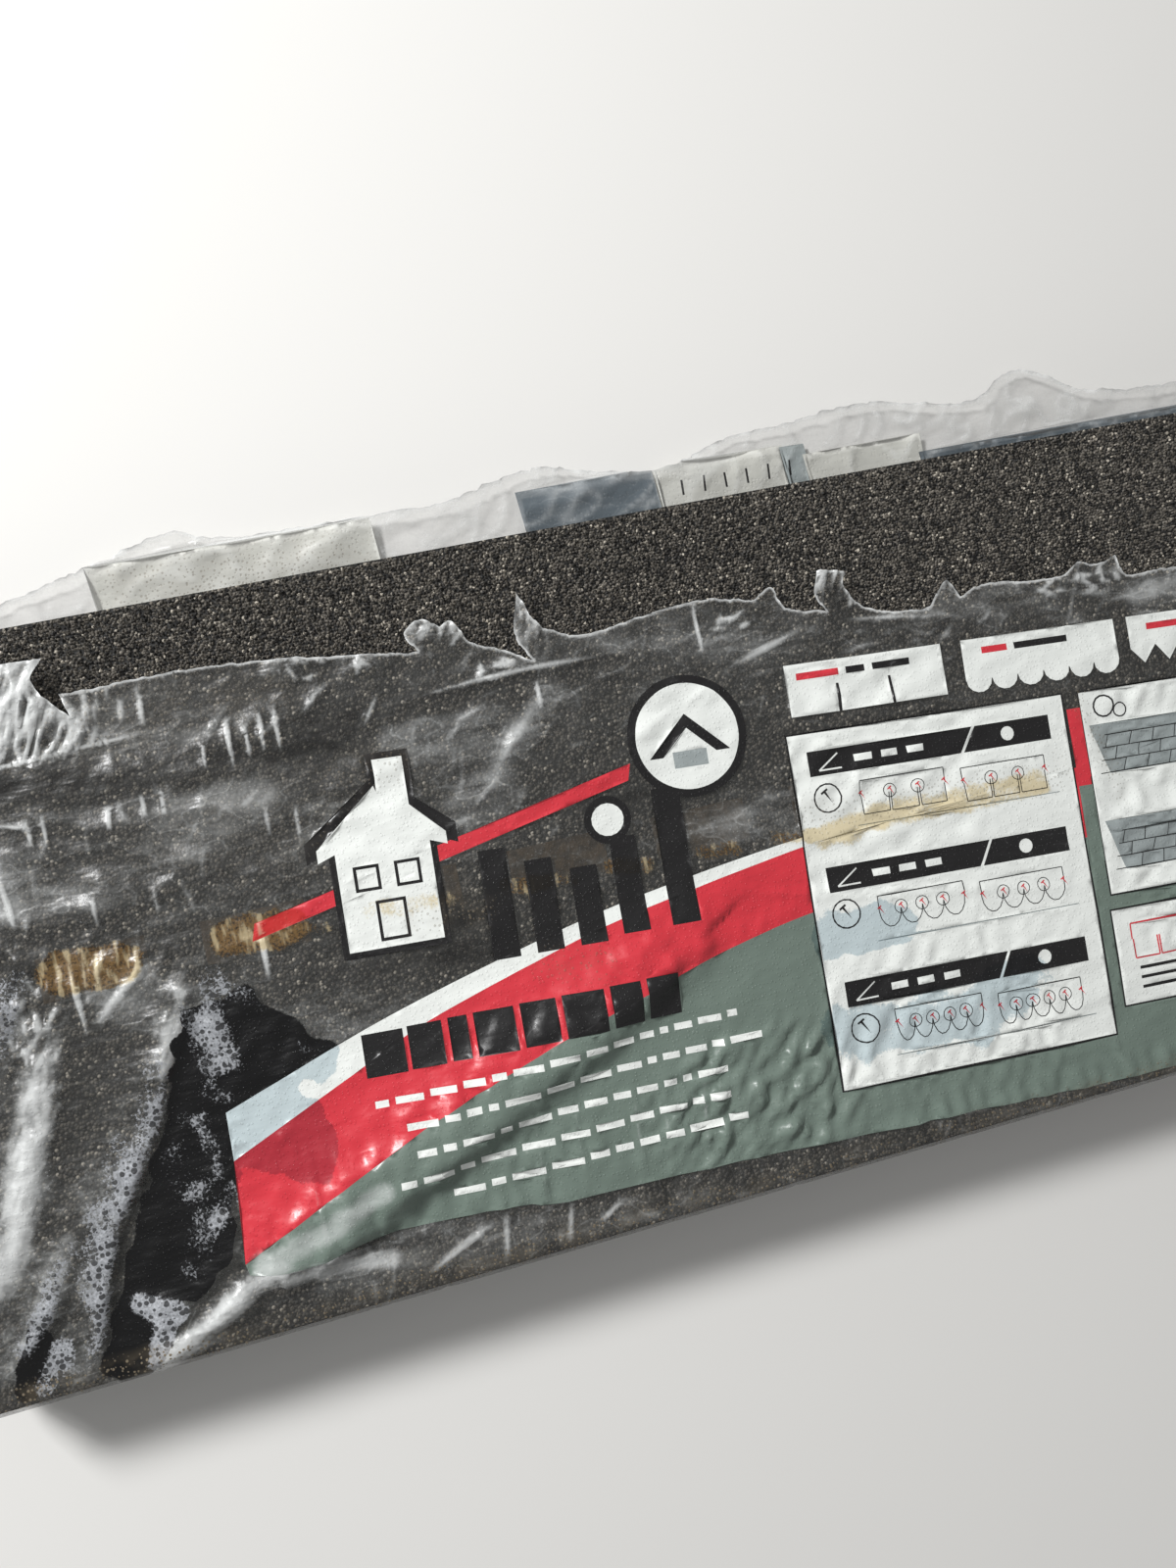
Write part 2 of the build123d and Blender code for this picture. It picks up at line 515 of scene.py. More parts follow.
# %% [markdown]
# Three slanting bands, white, red and grey-green, run under everything else. They could be cut as
# one strip with two lines in it, but their edges aren't parallel, so each edge is a curve of its own
# and a band is the area between two of them. A later area hides what it covers.

# %% Bands
WHITE_TOP = [(-357, -65), (-300, -47), (-260, -36), (-200, -22.5), (-160, -15), (-113, -9), (-60, -4)]
RED_TOP = [(-358, -87), (-300, -63), (-260, -47), (-200, -31), (-160, -22), (-113, -15), (-60, -8.5)]
RED_RIGHT = [(-60, -8.5), (92, -2), (330, 14)]
GREEN_TOP = [(-362, -132), (-300, -105), (-260, -89), (-200, -70), (-140, -55), (-113, -49), (-60, -41),
             (40, -36)]
GREEN_RIGHT = [(330, -60), (200, -46), (80, -38)]
GREEN_FOOT = [(-361, -137), (-335, -140), (-300, -137), (-240, -141), (-220, -145), (-160, -148),
              (-80, -153), (0, -158), (60, -162), (107, -164), (170, -165.5), (318, -166)]


def edge(points):
    """A band's edge through points, as far as the last one."""
    return smooth_curve(points, 8) + points[-1:]


print_on_sheet("white", edge(WHITE_TOP) + edge(RED_TOP[::-1]))
print_on_sheet("red", smooth_curve(RED_TOP, 8) + RED_RIGHT + GREEN_RIGHT + edge(GREEN_TOP[::-1]))
print_on_sheet("green", edge(GREEN_TOP) + GREEN_RIGHT[::-1] + edge(GREEN_FOOT[::-1]))
print("bands:", len(printed))

# %% [markdown]
# The panels. Such a print shows in thin line drawings how the strips are nailed: a strip's outline
# with its tabs, short leaning nails, small rings, and black bars over each group. The groups
# here are generic ones and stand in an order of their own.

# %% Panels
PANEL_SIZE = (149.0, 176.0)
PANEL_LINE = 0.9
NAIL_LEAN = math.radians(32)
NAIL_HEAD = [(-0.36, 0), (0.36, 0), (0.36, 0.2), (-0.36, 0.2)]
NAIL_SHANK = [(-0.11, 0), (0, -1.25), (0.11, 0)]
GROUPS = [(-9, 3, False), (-67, 4, True), (-124, 5, True)]  # top, number of tabs, whether they are round
DRAWINGS = [(33, 0), (88, 2)]  # in each group: left side, how much lower it stands
DRAWING_SIZE = (46, 17)
NAIL_ROW = 45


def print_panel(u, v, width, height):
    """A white panel with a thin black outline, from its upper left corner."""
    line = PANEL_LINE
    print_box("black", u - line, v - height - line, width + 2 * line, height + 2 * line)
    print_box("white", u, v - height, width, height)


def half_round(u, v, width, height):
    """The lower half of an oval round (u, v)."""
    turns = np.linspace(math.pi, 2 * math.pi, 8)
    return [(u + width * math.cos(a), v + height * math.sin(a)) for a in turns]


def print_strip(u, v, width, height, tabs, round_tabs, ink="black", line=0.5):
    """A strip in outline: a closed body above, and tabs below it."""
    tab, foot = width / tabs, v - height * 0.45
    print_line(ink, [(u, foot), (u, v), (u + width, v), (u + width, foot)], line)
    for number in range(tabs):
        left = u + number * tab
        right = left + tab
        if round_tabs:
            tab_edge = half_round(left + tab / 2, foot, tab / 2, height * 0.5)
        else:
            left, right = left + 0.6, right - 0.6
            tab_edge = [(left, foot), (left, v - height), (right, v - height), (right, foot)]
        print_line(ink, tab_edge, line)


def print_nail(u, v, size, ink="red"):
    """A nail from the side, leaning over: a flat head and a shank that ends in a point."""
    along, across = math.cos(NAIL_LEAN) * size, math.sin(NAIL_LEAN) * size
    for outline in (NAIL_HEAD, NAIL_SHANK):
        print_area(ink, [(u + a * along - b * across, v + a * across + b * along) for a, b in outline])


def print_header(u, v, width, height):
    """A black bar with a roof slope mark in white and a slanting white cut."""
    print_box("black", u, v, width, height)
    print_box("white", u + width * 0.62, v, 1.6, height, slant=height * 0.55)
    for end in ((u + 17, v + 2.5), (u + 16, v + height - 2.5)):
        print_line("white", [(u + 5, v + 2.5), end], 0.8)
    for number in range(3):
        print_box("white", u + 24 + number * 14, v + height * 0.36, 9, height * 0.28)
    print_ring(u + width * 0.82, v + height / 2, height * 0.3, 0.1)


print_panel(0, 0, *PANEL_SIZE)
for top, tabs, round_tabs in GROUPS:
    print_header(9, top - 12.5, 131, 12.5)
    print_ring(16, top - 24, 7.5, 0.8)
    for nail in range(1, tabs):
        for start, drop in DRAWINGS:
            print_ring(start + 0.5 + nail * NAIL_ROW / tabs, top - 25 - drop, 3.6, 0.45)
    print_nail(14.8, top - 21, 5.5, "black")
    for start, drop in DRAWINGS:
        print_strip(start, top - 18 - drop, *DRAWING_SIZE, tabs, round_tabs)
    for nail in range(tabs + 1):
        for start, drop in DRAWINGS:
            print_nail(start + 0.5 + nail * NAIL_ROW / tabs, top - 24 - drop, 3.4)
    print_line("grey", [(30, top - 40), (140, top - 40)], 0.5)
print("areas of the first panel:", len(printed) - 3)

# %% [markdown]
# Two more panels stand to the right of the first, one with two brick-patterned slopes and one with a
# strip in red, and three small labels stand above them whose lower edges show the shapes of tabs.
# They are drawn with the same few helpers.

# %% Panels beyond, small shapes above
BRICK = (13, 6.5)
SLOPES = [-24, -74]

print_panel(159, -0.5, 118, 105)
for top in SLOPES:
    print_box("grey", 170, top - 20, 96, 26, slant=-8)
    for line in range(4):
        level = top - line * BRICK[1]
        print_line("black", [(170 - line * 2, level), (264 - line * 2, level)], 0.5)
    for brick in range(22):
        row = brick % 3
        start, level = 172 + brick // 3 * BRICK[0] + row * 4, top - row * BRICK[1]
        print_line("black", [(start, level), (start - 2, level - BRICK[1])], 0.5)
print_ring(172, -9, 6, 1.0)
print_ring(181, -12, 4, 0.8)
print_panel(157, -114, 120, 49)
print_strip(166, -122, 44, 18, 3, False, "red", 0.8)
for row in range(3):
    print_box("black", 168, -146 - row * 5, 38 - row * 7, 1.6)
    print_box("black", 222, -124 - row * 10, 44 - row * 9, 2.2)

print_box("white", 4, 9, 84, 26)
for slot in (30, 58):
    print_box("black", slot, 9, 1.4, 14)
scallops = sum((half_round(106.2 + tab * 14.4, 14, 7.0, 6.5) for tab in range(6)), [(99, 35), (99, 14)])
teeth = [(193, 35), (193, 18)] + [(197 + tab * 7 + 3.5, 10 + 9 * (tab % 2)) for tab in range(11)]
for label, bars in (
        (None, [("red", 10, 22), ("black", 36, 10), ("black", 50, 20)]),
        (scallops + [(185.4, 35)], [("red", 110, 14), ("black", 128, 30)]),
        (teeth + [(275, 18), (275, 35)], [("red", 204, 22)])):
    if label:
        print_area("white", label)
    for ink, start, width in bars:
        print_box(ink, start, 27, width, 3.4)
print_box("green", 151, -88, 7.5, 40)
print_box("red", 151, -44, 7.5, 36)
print("printed areas with all panels:", len(printed))

# %% [markdown]
# Left of the panels stand a few plain shapes in the colours and sizes of the real print: a house
# with a pitched roof, a straight red stripe, upright black bars, a disc with a roof line, a row of
# black blocks and five rows of short white dashes.

# %% Plain shapes
LEFT_CORNER = (-290.0, 95.0)
WINDOWS = [(15, -76, 12, 12), (34, -76, 12, 12), (23, -100, 14, 19)]
BARS = [(73, -118, 13, 52), (94, -118, 13, 44), (115, -118, 13, 37), (136, -116, 13, 46),
        (160, -116, 14, 66)]
BLOCKS_CORNER = (-293.0, -66.0)
BLOCKS = [(0, 19), (21, 16), (40, 9), (52, 19), (74, 17), (94, 20), (117, 15), (135, 16)]
BLOCK_HEIGHT = 20.0
BLOCK_SLOPE = 0.02
DASH_ROWS = [(-292.0, -80.0, 176), (-280.0, -92.5, 158), (-278.0, -105.0, 150), (-288.0, -117.0, 160),
             (-266.0, -129.0, 140)]
DASH_LENGTH = (4, 17)
DASH_HEIGHT = 3.2
DASH_SLOPE = 0.06


def house(grow):
    """Outline of a house with a chimney, its walls moved out by grow."""
    eaves, roof = grow * 1.7, -54 + grow * 1.2
    left, right, wall_top = 8 - grow, 52 + grow, -57 + grow * 0.4
    return [(left, -103 - grow), (right, -103 - grow), (right, wall_top), (60 + eaves, -60),
            (60 + eaves, roof), (45 + grow, -39 + grow), (45 + grow, -16 + grow), (31 - grow, -16 + grow),
            (31 - grow, -31 + grow * 1.6), (30, -28 + grow * 1.4), (0 - eaves, roof), (0 - eaves, -60),
            (left, wall_top)]


print_area("red", [(-32, -82), (-34, -90), (150, -44), (152, -36)], LEFT_CORNER)
print_area("black", house(3.0), LEFT_CORNER)
print_area("white", house(0.0), LEFT_CORNER)
for u, v, width, height in WINDOWS:
    print_box("black", u, v, width, height, corner=LEFT_CORNER)
    print_box("white", u + 1.5, v + 1.5, width - 3, height - 3, corner=LEFT_CORNER)
for bar in BARS:
    print_box("black", *bar, corner=LEFT_CORNER)
print_ring(182.5, -27, 30, 4, LEFT_CORNER)
roof_line = [(162, -36), (182.5, -16), (203, -36), (196, -36), (182.5, -23), (169, -36)]
print_area("black", roof_line, LEFT_CORNER)
print_box("grey", 174, -42, 17, 8, corner=LEFT_CORNER)
print_ring(137, -61, 11.5, 3.6, LEFT_CORNER)
for start, width in BLOCKS:
    print_box("black", start, start * BLOCK_SLOPE, width, BLOCK_HEIGHT, corner=BLOCKS_CORNER)
for x, y, length in DASH_ROWS:
    u = 0.0
    while u < length:
        dash = random.uniform(*DASH_LENGTH)
        print_box("white", u, 0, dash, DASH_HEIGHT, corner=(x, y + u * DASH_SLOPE))
        u += dash + DASH_HEIGHT
print("printed areas with the plain shapes:", len(printed))

# %% [markdown]
# The flap lies with its inner side up, so its print shows through the film, faded. It is a row of
# large fields beside each other, and a few ticks of a scale.

# %% Print of the flap
FLAP_PRINT = [  # ink, start, end, reach beyond the stack
    ("faded white", -374, -232, 37), ("faded blue", -152, -76, 37), ("faded white", -76, -2, 37),
    ("grey", -2, 11, 36), ("faded white", 11, 80, 30), ("faded blue", 80, 330, 20),
]
near = ground_t(FILM_HALF_DEPTH - 30)
for ink, start, end, reach in FLAP_PRINT:
    far = ground_t(FAR_EDGE + reach)
    print_on_sheet(ink, [(start, near), (end, near), (end - 3, far), (start - 5, far)])
near, far = ground_t(188), ground_t(196)
for tick in range(6):
    start = -66 + tick * 12.5
    print_on_sheet("black", [(start, near), (start + 1.2, near), (start + 1.2, far), (start, far)])
print("printed areas:", len(printed))

# %% [markdown]
# Creases. Stiff thin film doesn't wrinkle in soft waves alone: it breaks along sharp straight
# lines. Each crease here is a line that gets its own row of mesh points on its crest and one row at
# each foot, so it stays sharp without a fine mesh everywhere. The large ones are where the real
# ones are, and the many small ones are scattered with a seed, each zone with its own direction.

# %% Creases
# A crease's whiteness is partly the film's own whitening and partly a painted highlight on its crest.
CREASES = [  # height, half width, whiteness, then x and t of each point
    (1, 2.4, 0.45, -288, 103, -278, 112, -270, 118), (1, 2.2, 0.45, -262, 90, -250, 108),
    (1.4, 5.5, 0.24, -205, 58, -188, 78, -168, 97), (1, 2.4, 0.45, -82, 85, -60, 91, -40, 97),
    (1.4, 2, 0.6, -240, 101, -190, 104, -140, 103), (0.9, 1.4, 0.75, -176.5, 84, -176.5, 98),
    (0.9, 1.4, 0.7, -93, 94, -93, 120), (1.2, 2.2, 0.4, -20, 97, 5, 93, 30, 89),
    (1.3, 1.7, 0.75, -333, 88, -332, 100), (1.6, 1.8, 0.9, -321, 86, -320, 110),
    (1.4, 1.6, 0.7, -313, 88, -312, 106), (1.4, 1.6, 0.85, -306, 90, -305, 110),
    (1.3, 1.6, 0.8, -299, 88, -298, 112), (1, 1.5, 0.8, -424, 107.5, -412, 108, -400, 108.5),
    (0.6, 1.1, 0.45, -402, 108.5, -380, 109.5, -356, 110.5), (0.8, 1.4, 0.45, -425, 83, -410, 78),
    (0.7, 1.4, 0.6, -413, 70, -413, 83), (0.7, 1.4, 0.55, -407, 68, -406, 84),
    (0.9, 1.5, 0.75, -379, 70, -378, 82), (0.7, 1.4, 0.5, -363, 73, -363, 84),
    (0.8, 1.4, 0.6, -355, 72, -354, 85), (0.8, 1.4, 0.34, -393, 28, -392, 44),
    (0.7, 1.4, 0.3, -367, 28, -366, 42), (0.7, 1.4, 0.4, -312, 52, -311, 66),
    (0.7, 1.4, 0.5, -299, 50, -298, 64), (0.9, 3, 0.1, -130, -15, -80, -29, -25, -42, 30, -52, 90, -66),
    (1, 1.8, 0.75, -325, 20, -326, -12), (0.8, 2, 0.3, -326, -88, -325, -135),
    (0.8, 2, 0.35, -222, -96, -225, -150), (0.8, 2, 0.3, -202, -90, -206, -150),
    (0.8, 2, 0.35, -173, -95, -178, -150), (0.8, 2, 0.3, -159, -98, -164, -152),
    (0.8, 2, 0.3, -138, -100, -146, -150), (0.9, 2, 0.35, -244, -140, -249, -165),
    (0.9, 2, 0.35, -213, -142, -219, -166), (1.3, 2.4, 0.5, -285, -160, -268, -152, -250, -145),
    (1, 2, 0.5, -202, -158, -190, -152), (1.4, 3, 0.5, -373, 10, -388, 0, -405, -15),
    (1.1, 1.8, 0.6, -409, 22, -407, -20), (1, 1.8, 0.55, -398, 3, -396, 22),
    (0.9, 1.8, 0.4, -404, 2, -402, 20), (0.9, 1.8, 0.45, -384, 2, -378, 12),
    (1, 1.6, 0.6, -427, 36, -429, 60), (0.8, 2, 0.25, -355, -137, -330, -139, -300, -141),
    (0.9, 2.5, 0.05, -150, -100, -140, -125, -145, -150),
    (0.9, 2.5, 0.05, -120, -96, -112, -120, -116, -150), (0.9, 2.5, 0.05, -98, -92, -92, -122, -96, -150),
]


def path_of(numbers):
    """A path from the x and t of its points in a row."""
    return np.array(numbers, float).reshape(-1, 2)


creases = [(rise, width, white, path_of(numbers)) for rise, width, white, *numbers in CREASES]
print("creases set by hand:", len(creases))

# %% Scattered creases
CREASE_ZONES = [  # count, x range, y range, direction and its spread in degrees, length, height, whiteness
    (26, (-440, -340), (20, 105), 80, 25, (8, 22), 0.5, 0.16),
    (34, (-340, -180), (15, 118), 35, 45, (10, 34), 0.6, 0.16),
    (26, (-180, -60), (60, 112), 20, 50, (8, 30), 0.6, 0.16),
    (30, (-60, 200), (62, 92), 15, 45, (8, 26), 0.6, 0.18),
    (12, (-388, -352), (118, 134), 86, 8, (8, 14), 0.5, 0.45),
    (13, (-363, -349), (-138, -66), 163, 12, (8, 15), 0.8, 0.1),
    (12, (88, 134), (86, 99), 10, 60, (5, 14), 0.9, 0.5),
    (7, (-88, -62), (103, 112), 20, 40, (6, 12), 0.9, 0.5),
    (8, (-292, -248), (119, 130), 10, 70, (5, 12), 0.8, 0.45),
    (5, (-202, -184), (103, 113), 15, 50, (6, 14), 0.9, 0.5),
    (7, (-30, -6), (104, 121), 62, 10, (8, 14), 0.8, 0.6),
    (6, (-231, -207), (122, 134), 35, 50, (5, 10), 0.8, 0.5),
    (3, (-180, -173), (112, 134), 80, 8, (8, 16), 0.8, 0.55),
    (9, (-440, -418), (-24, 18), 70, 50, (6, 16), 1, 0.4),
    (30, (-60, 90), (-130, 40), 75, 40, (10, 30), 0.35, 0),
    (34, (-350, -70), (-140, -30), 60, 45, (10, 34), 0.4, 0),
    (26, (-330, 100), (-166, -140), 85, 30, (8, 20), 0.6, 0.14),
    (22, (100, 480), (-150, 60), 60, 60, (12, 40), 0.6, 0.05),
    (16, (240, 490), (20, 90), 30, 60, (12, 40), 0.7, 0.15),
    (16, (-495, -440), (-60, 120), 80, 40, (10, 40), 0.8, 0.15),
]

for count, (x0, x1), (t0, t1), direction, spread, (short, long), rise, white in CREASE_ZONES:
    for _ in range(count):
        centre = np.array([random.uniform(x0, x1), random.uniform(t0, t1)])
        turn = math.radians(random.gauss(direction, spread / 2))
        along = np.array([math.cos(turn), math.sin(turn)]) * random.uniform(short, long) / 2
        bend = np.array([-along[1], along[0]]) * random.uniform(-0.15, 0.15)
        size = random.uniform(0.5, 1.2)
        path = np.array([centre - along, centre + bend, centre + along])
        creases.append((rise * size, 1.1 + 0.9 * size, white * size, path))
print("creases:", len(creases))

# %% Points near a path
def near_path(x, t, path, reach):
    """The points within reach of a path: which ones, how far from it, below 0 on its left, and how
    far along it they are, 0 to 1."""
    low, high = path.min(0) - reach, path.max(0) + reach
    inside = np.flatnonzero((x > low[0]) & (x < high[0]) & (t > low[1]) & (t < high[1]))
    points = np.stack([x[inside], t[inside]], 1)
    best, place, left = np.full(len(inside), 1e9), np.zeros(len(inside)), np.zeros(len(inside), bool)
    runs = np.diff(path, axis=0)
    lengths = np.hypot(*runs.T)
    for start, run, length, before in zip(path, runs, lengths, np.concatenate([[0], np.cumsum(lengths)])):
        part = np.clip((points - start) @ run / length**2, 0, 1)
        gap = np.hypot(*(points - start - part[:, None] * run).T)
        nearer = gap < best
        best[nearer] = gap[nearer]
        place[nearer] = (before + part[nearer] * length) / lengths.sum()
        left[nearer] = ((points - start) @ (-run[1], run[0]) > 0)[nearer]
    return inside, np.where(left, -best, best), place


# %% [markdown]
# Now the flat sheet is meshed. A constrained Delaunay triangulation takes loose points, and the
# outlines of the sheet and of the printed areas, and returns triangles that respect every outline.
# The points are a close triangular grid where the camera looks and a wide one elsewhere.

# %% Grids of points
ON_TOP = (T_NEAR_EDGE + 1, 165)
ALL_ROUND = (T_GROUND_FAR, T_FAR_FOOT)
PAST_TEAR = (165, T_FAR_FOOT)
GRIDS = [  # x range, t range, spacing: each grid fills what the closer ones before it leave
    ((-432, -380), (104, 156), 1.4),
    ((-480, -345), (T_NEAR_EDGE + 1, 14), 1.9),
    ((-480, 200), (T_NEAR_EDGE + 1, 145), 2.5),
    ((200, END_FACE), ON_TOP, 4.2),
    ((-END_FACE, -480), ON_TOP, 4.2),
    ((-END_FACE, END_FACE), (T_NEAR_FOOT - 2, T_NEAR_EDGE + 1), 3.4),
    ((-END_FACE, END_FACE), (T_GROUND_FAR + 4, T_NEAR_FOOT - 2), 14.0),
    ((-TEAR_END, TEAR_END), (T_GROUND_FAR - 60, T_GROUND_FAR + 4), 2.5),
    ((-SHEET_END, -END_FACE), ALL_ROUND, 3.6),
    ((END_FACE, SHEET_END), ALL_ROUND, 3.6),
    ((-END_FACE, -TEAR_END), PAST_TEAR, 4.0),
    ((TEAR_END, END_FACE), PAST_TEAR, 4.0),
]
RIM_ZONE = ((-TEAR_END, 220), (85, 165))
RIM_WIDTH = 6.0
RIM_SPACING = 1.5
LEAST_GAP = 0.6


def grid_points(x_range, t_range, spacing):
    """A triangular grid."""
    points = []
    for row, t in enumerate(np.arange(t_range[0] + spacing / 2, t_range[1], spacing * math.sqrt(3) / 2)):
        for x in np.arange(x_range[0] + spacing * (0.25 + 0.5 * (row % 2)), x_range[1], spacing):
            points.append((x, t))
    return points


def tree_of(spots):
    """A search tree that finds the nearest of some flat points."""
    tree = kdtree.KDTree(len(spots))
    for number, spot in enumerate(spots):
        tree.insert((*spot, 0), number)
    tree.balance()
    return tree


points = []
for rise, width, white, path in creases:
    ends = path[-1] - path[0]
    side = np.array([-ends[1], ends[0]]) / np.hypot(*ends) * width
    for offset, step in ((0 * side, 2.4), (side, 3.0), (-side, 3.0)):
        points += map(tuple, smooth_curve(path + offset, step))
print("points on creases:", len(points))
tear_tree, flap_tree = tree_of(tear_line), tree_of(flap_line)
rim = [p for p in grid_points(*RIM_ZONE, RIM_SPACING) if tear_tree.find((*p, 0))[2] < RIM_WIDTH]
for spots, spacing in [(rim, RIM_SPACING)] + [(grid_points(*grid), grid[2]) for grid in GRIDS]:
    taken = tree_of(points)
    points += [p for p in spots if taken.find((*p, 0))[2] > LEAST_GAP * spacing]
print("with the grids:", len(points))

# %% Mesh of the flat sheet
outline = (
    [(-SHEET_END, T_FAR_FOOT), (-SHEET_END, T_GROUND_FAR), (-FLAP_END, T_GROUND_FAR)] + flap_line
    + [(FLAP_END, T_GROUND_FAR), (SHEET_END, T_GROUND_FAR), (SHEET_END, T_FAR_FOOT), (TEAR_END, T_FAR_FOOT)]
    + tear_line[::-1] + [(-TEAR_END, T_FAR_FOOT)])
areas = []
for _, area in [("film", outline)] + printed:
    areas.append(list(range(len(points), len(points) + len(area))))
    points += [tuple(map(float, p)) for p in area]
points = [Vector(p) for p in points]
flat_points, _, triangles, _, _, areas_of = delaunay_2d_cdt(points, [], areas, 1, 1e-4, True)
kept = [number for number, inside in enumerate(areas_of) if 0 in inside]
ink_of = [max(areas_of[number]) for number in kept]
used, triangles = np.unique([triangles[number] for number in kept], return_inverse=True)
triangles = triangles.reshape(-1, 3)
flat = np.array([flat_points[number] for number in used])
print("film triangles:", len(triangles), "points:", len(flat))

# %% [markdown]
# The relief of the top. Large folds are soft ridges along a path, and the sheet sags a little
# between the things that it lies on. The left end is worst: there the film stands up in long
# frosted folds with water between them. Heights are in millimetres above the strips.

# %% Folds, valleys, ripples and lifted edges
# A fold's whiteness is partly the film's own whitening and partly a painted highlight along it.
FOLDS = [  # height, width on the right and left, whiteness, frost, then x and t of each point
    (4.2, 8, 4, 0.55, 0.1, -361, -2, -369, -22, -380, -42),
    (5.5, 16, 4, 0.25, 0.84, -374, -26, -386, -58, -399, -80, -412, -100, -420, -120, -428, -142,
     -436, -167),
    (5, 8, 7, 0.86, 0.05, -424, -16, -432, -40, -441, -65, -451, -90, -464, -114),
    (4.5, 9, 5, 0.35, 0.74, -428, -96, -438, -115, -452, -135, -470, -154),
    (4.5, 4, 6, 1.1, 0, -350, -136, -366, -144, -380, -152, -396, -160, -412, -167),
    (2.6, 5, 3.5, 0.35, 0.7, -413, -134, -400, -140, -389, -147),
    (2.4, 5, 4, 0.35, 0.66, -411, -138, -403, -150, -406, -164),
    (2.2, 7, 4, 0.06, 0, -240, 101, -190, 106, -140, 105, -90, 101),
    (2.4, 12, 5, 0.05, 0, -430, 106, -380, 98, -340, 96, -300, 108, -262, 112),
    (2, 8, 6, 0.05, 0, -60, 95, 20, 90, 90, 86, 170, 82),
    (1.8, 9, 7, 0.05, 0, -420, 62, -360, 74, -310, 66, -250, 76),
    (1.8, 9, 7, 0.04, 0, -430, 40, -380, 44, -330, 36, -290, 20),
    (17, 10, 25, 0, 0, -362, -149, -310, -127, -270, -110, -230, -92, -190, -75, -158, -59,
     -128, -42),
    (1.4, 9, 9, 0, 0, -150, -98, -118, -120, -90, -150),
    (1.4, 9, 9, 0, 0, -232, -90, -210, -105, -190, -135),
    (1.6, 8, 8, 0, 0, -20, -100, 10, -120, 50, -150),
    (2, 6, 5, 0.3, 0.2, -360, -4, -352, -30, -347, -48),
]
HOLLOWS = [  # depth of the sheet in the broad valleys, half width, then x and t of each point
    (1.2, 12, -318, -146, -262, -122, -195, -88, -140, -56), (0.8, 12, -240, 96, -140, 96),
]
RIPPLES = [  # height, size, stretch, direction, then middle and half sizes of the zone
    (6, 5.5, 2.2, 48, -112, -122, 56, 32), (2.2, 7, 2.4, 80, -15, -112, 70, 46),
    (3, 12, 2.5, -15, -350, 62, 90, 40), (3, 5, 2.4, 75, -395, 12, 42, 14),
    (4, 5, 2.2, 60, -436, 2, 16, 34), (2, 6.5, 2, 95, -262, -124, 80, 26),
    (2, 9, 1.5, 20, -20, 20, 70, 60), (2.6, 8, 1.6, 60, 140, -40, 40, 100),
    (2.4, 11, 2, 15, -180, 72, 100, 36), (2.4, 7, 2, 8, 60, 84, 120, 14),
    (3, 7, 2, 100, -60, -158, 200, 10), (1, 9, 1.5, 60, -330, -30, 40, 40),
]
LIFTS = [  # where the torn edge stands up: x, t, reach, height
    (-177, 139, 12, 9), (-173, 118, 9, 4), (-22, 118, 14, 8), (-29, 121, 8, 4),
    (-224, 133, 11, 5), (-208, 130, 7, 3.5), (-53, 118, 8, 4), (37, 105, 8, 5.5), (108, 100, 9, 3.5),
    (133, 101, 8, 5), (-398, 138, 15, 8), (-412, 146, 16, 6), (-384, 121, 7, 3),
    (-290, 126, 9, 2.6), (-255, 123, 9, 2.6), (300, 88, 16, 5), (400, 110, 18, 6), (240, 92, 14, 4),
]
SHEET_RISE = 0.25
LEAST_RISE = 0.12
HIGHEST_FOLD = 12.0
PATH_STEP = 4


def soft(value, start, end):
    """0 before start, 1 after end, smooth between."""
    part = np.clip((value - start) / (end - start), 0, 1)
    return part * part * (3 - 2 * part)


def lumps(x, y, size, seed, stretch=1.0, turn=0.0):
    """Noise from -1 to 1, with lumps about size across that are longer by stretch along the turned X."""
    c, s = math.cos(math.radians(turn)), math.sin(math.radians(turn))
    u, v = (x * c + y * s) / (size * stretch), (y * c - x * s) / size
    return np.array([noise.noise((a, b, seed)) for a, b in zip(u, v)])


def crumple(x, y, size, seed, stretch=1.0, turn=0.0):
    """Sharp-crested lumps, 0 to 1, as film folds."""
    return (1 - np.abs(lumps(x, y, size, seed, stretch, turn)) * 2).clip(0, 1) ** 2


def patch(x0, t0, half_x, half_t):
    """1 in an oval and 0 outside it."""
    return np.exp(-(((x - x0) / half_x) ** 2 + ((t - t0) / half_t) ** 2) ** 2)


print("folds:", len(FOLDS), "lifted places:", len(LIFTS))

# %% Raise the folds
x, t = flat.T
y, z, y_facing, z_facing = on_section(t)
on_top = soft(z_facing, 0.5, 0.95) * soft(FILM_HALF_DEPTH - 1.5 - np.abs(y), 0, 5) * (z > 30)
height = np.full(len(x), SHEET_RISE)
haze_and_painted_light = np.full(len(x), 0.03)
frost = np.zeros(len(x))
height += 0.55 * crumple(x, y, 26, 1, 1.8, 10) + 0.35 * crumple(x, y, 11, 2, 1.3, -30)
height += 0.5 + 0.5 * lumps(x, y, 60, 3, 2.0)

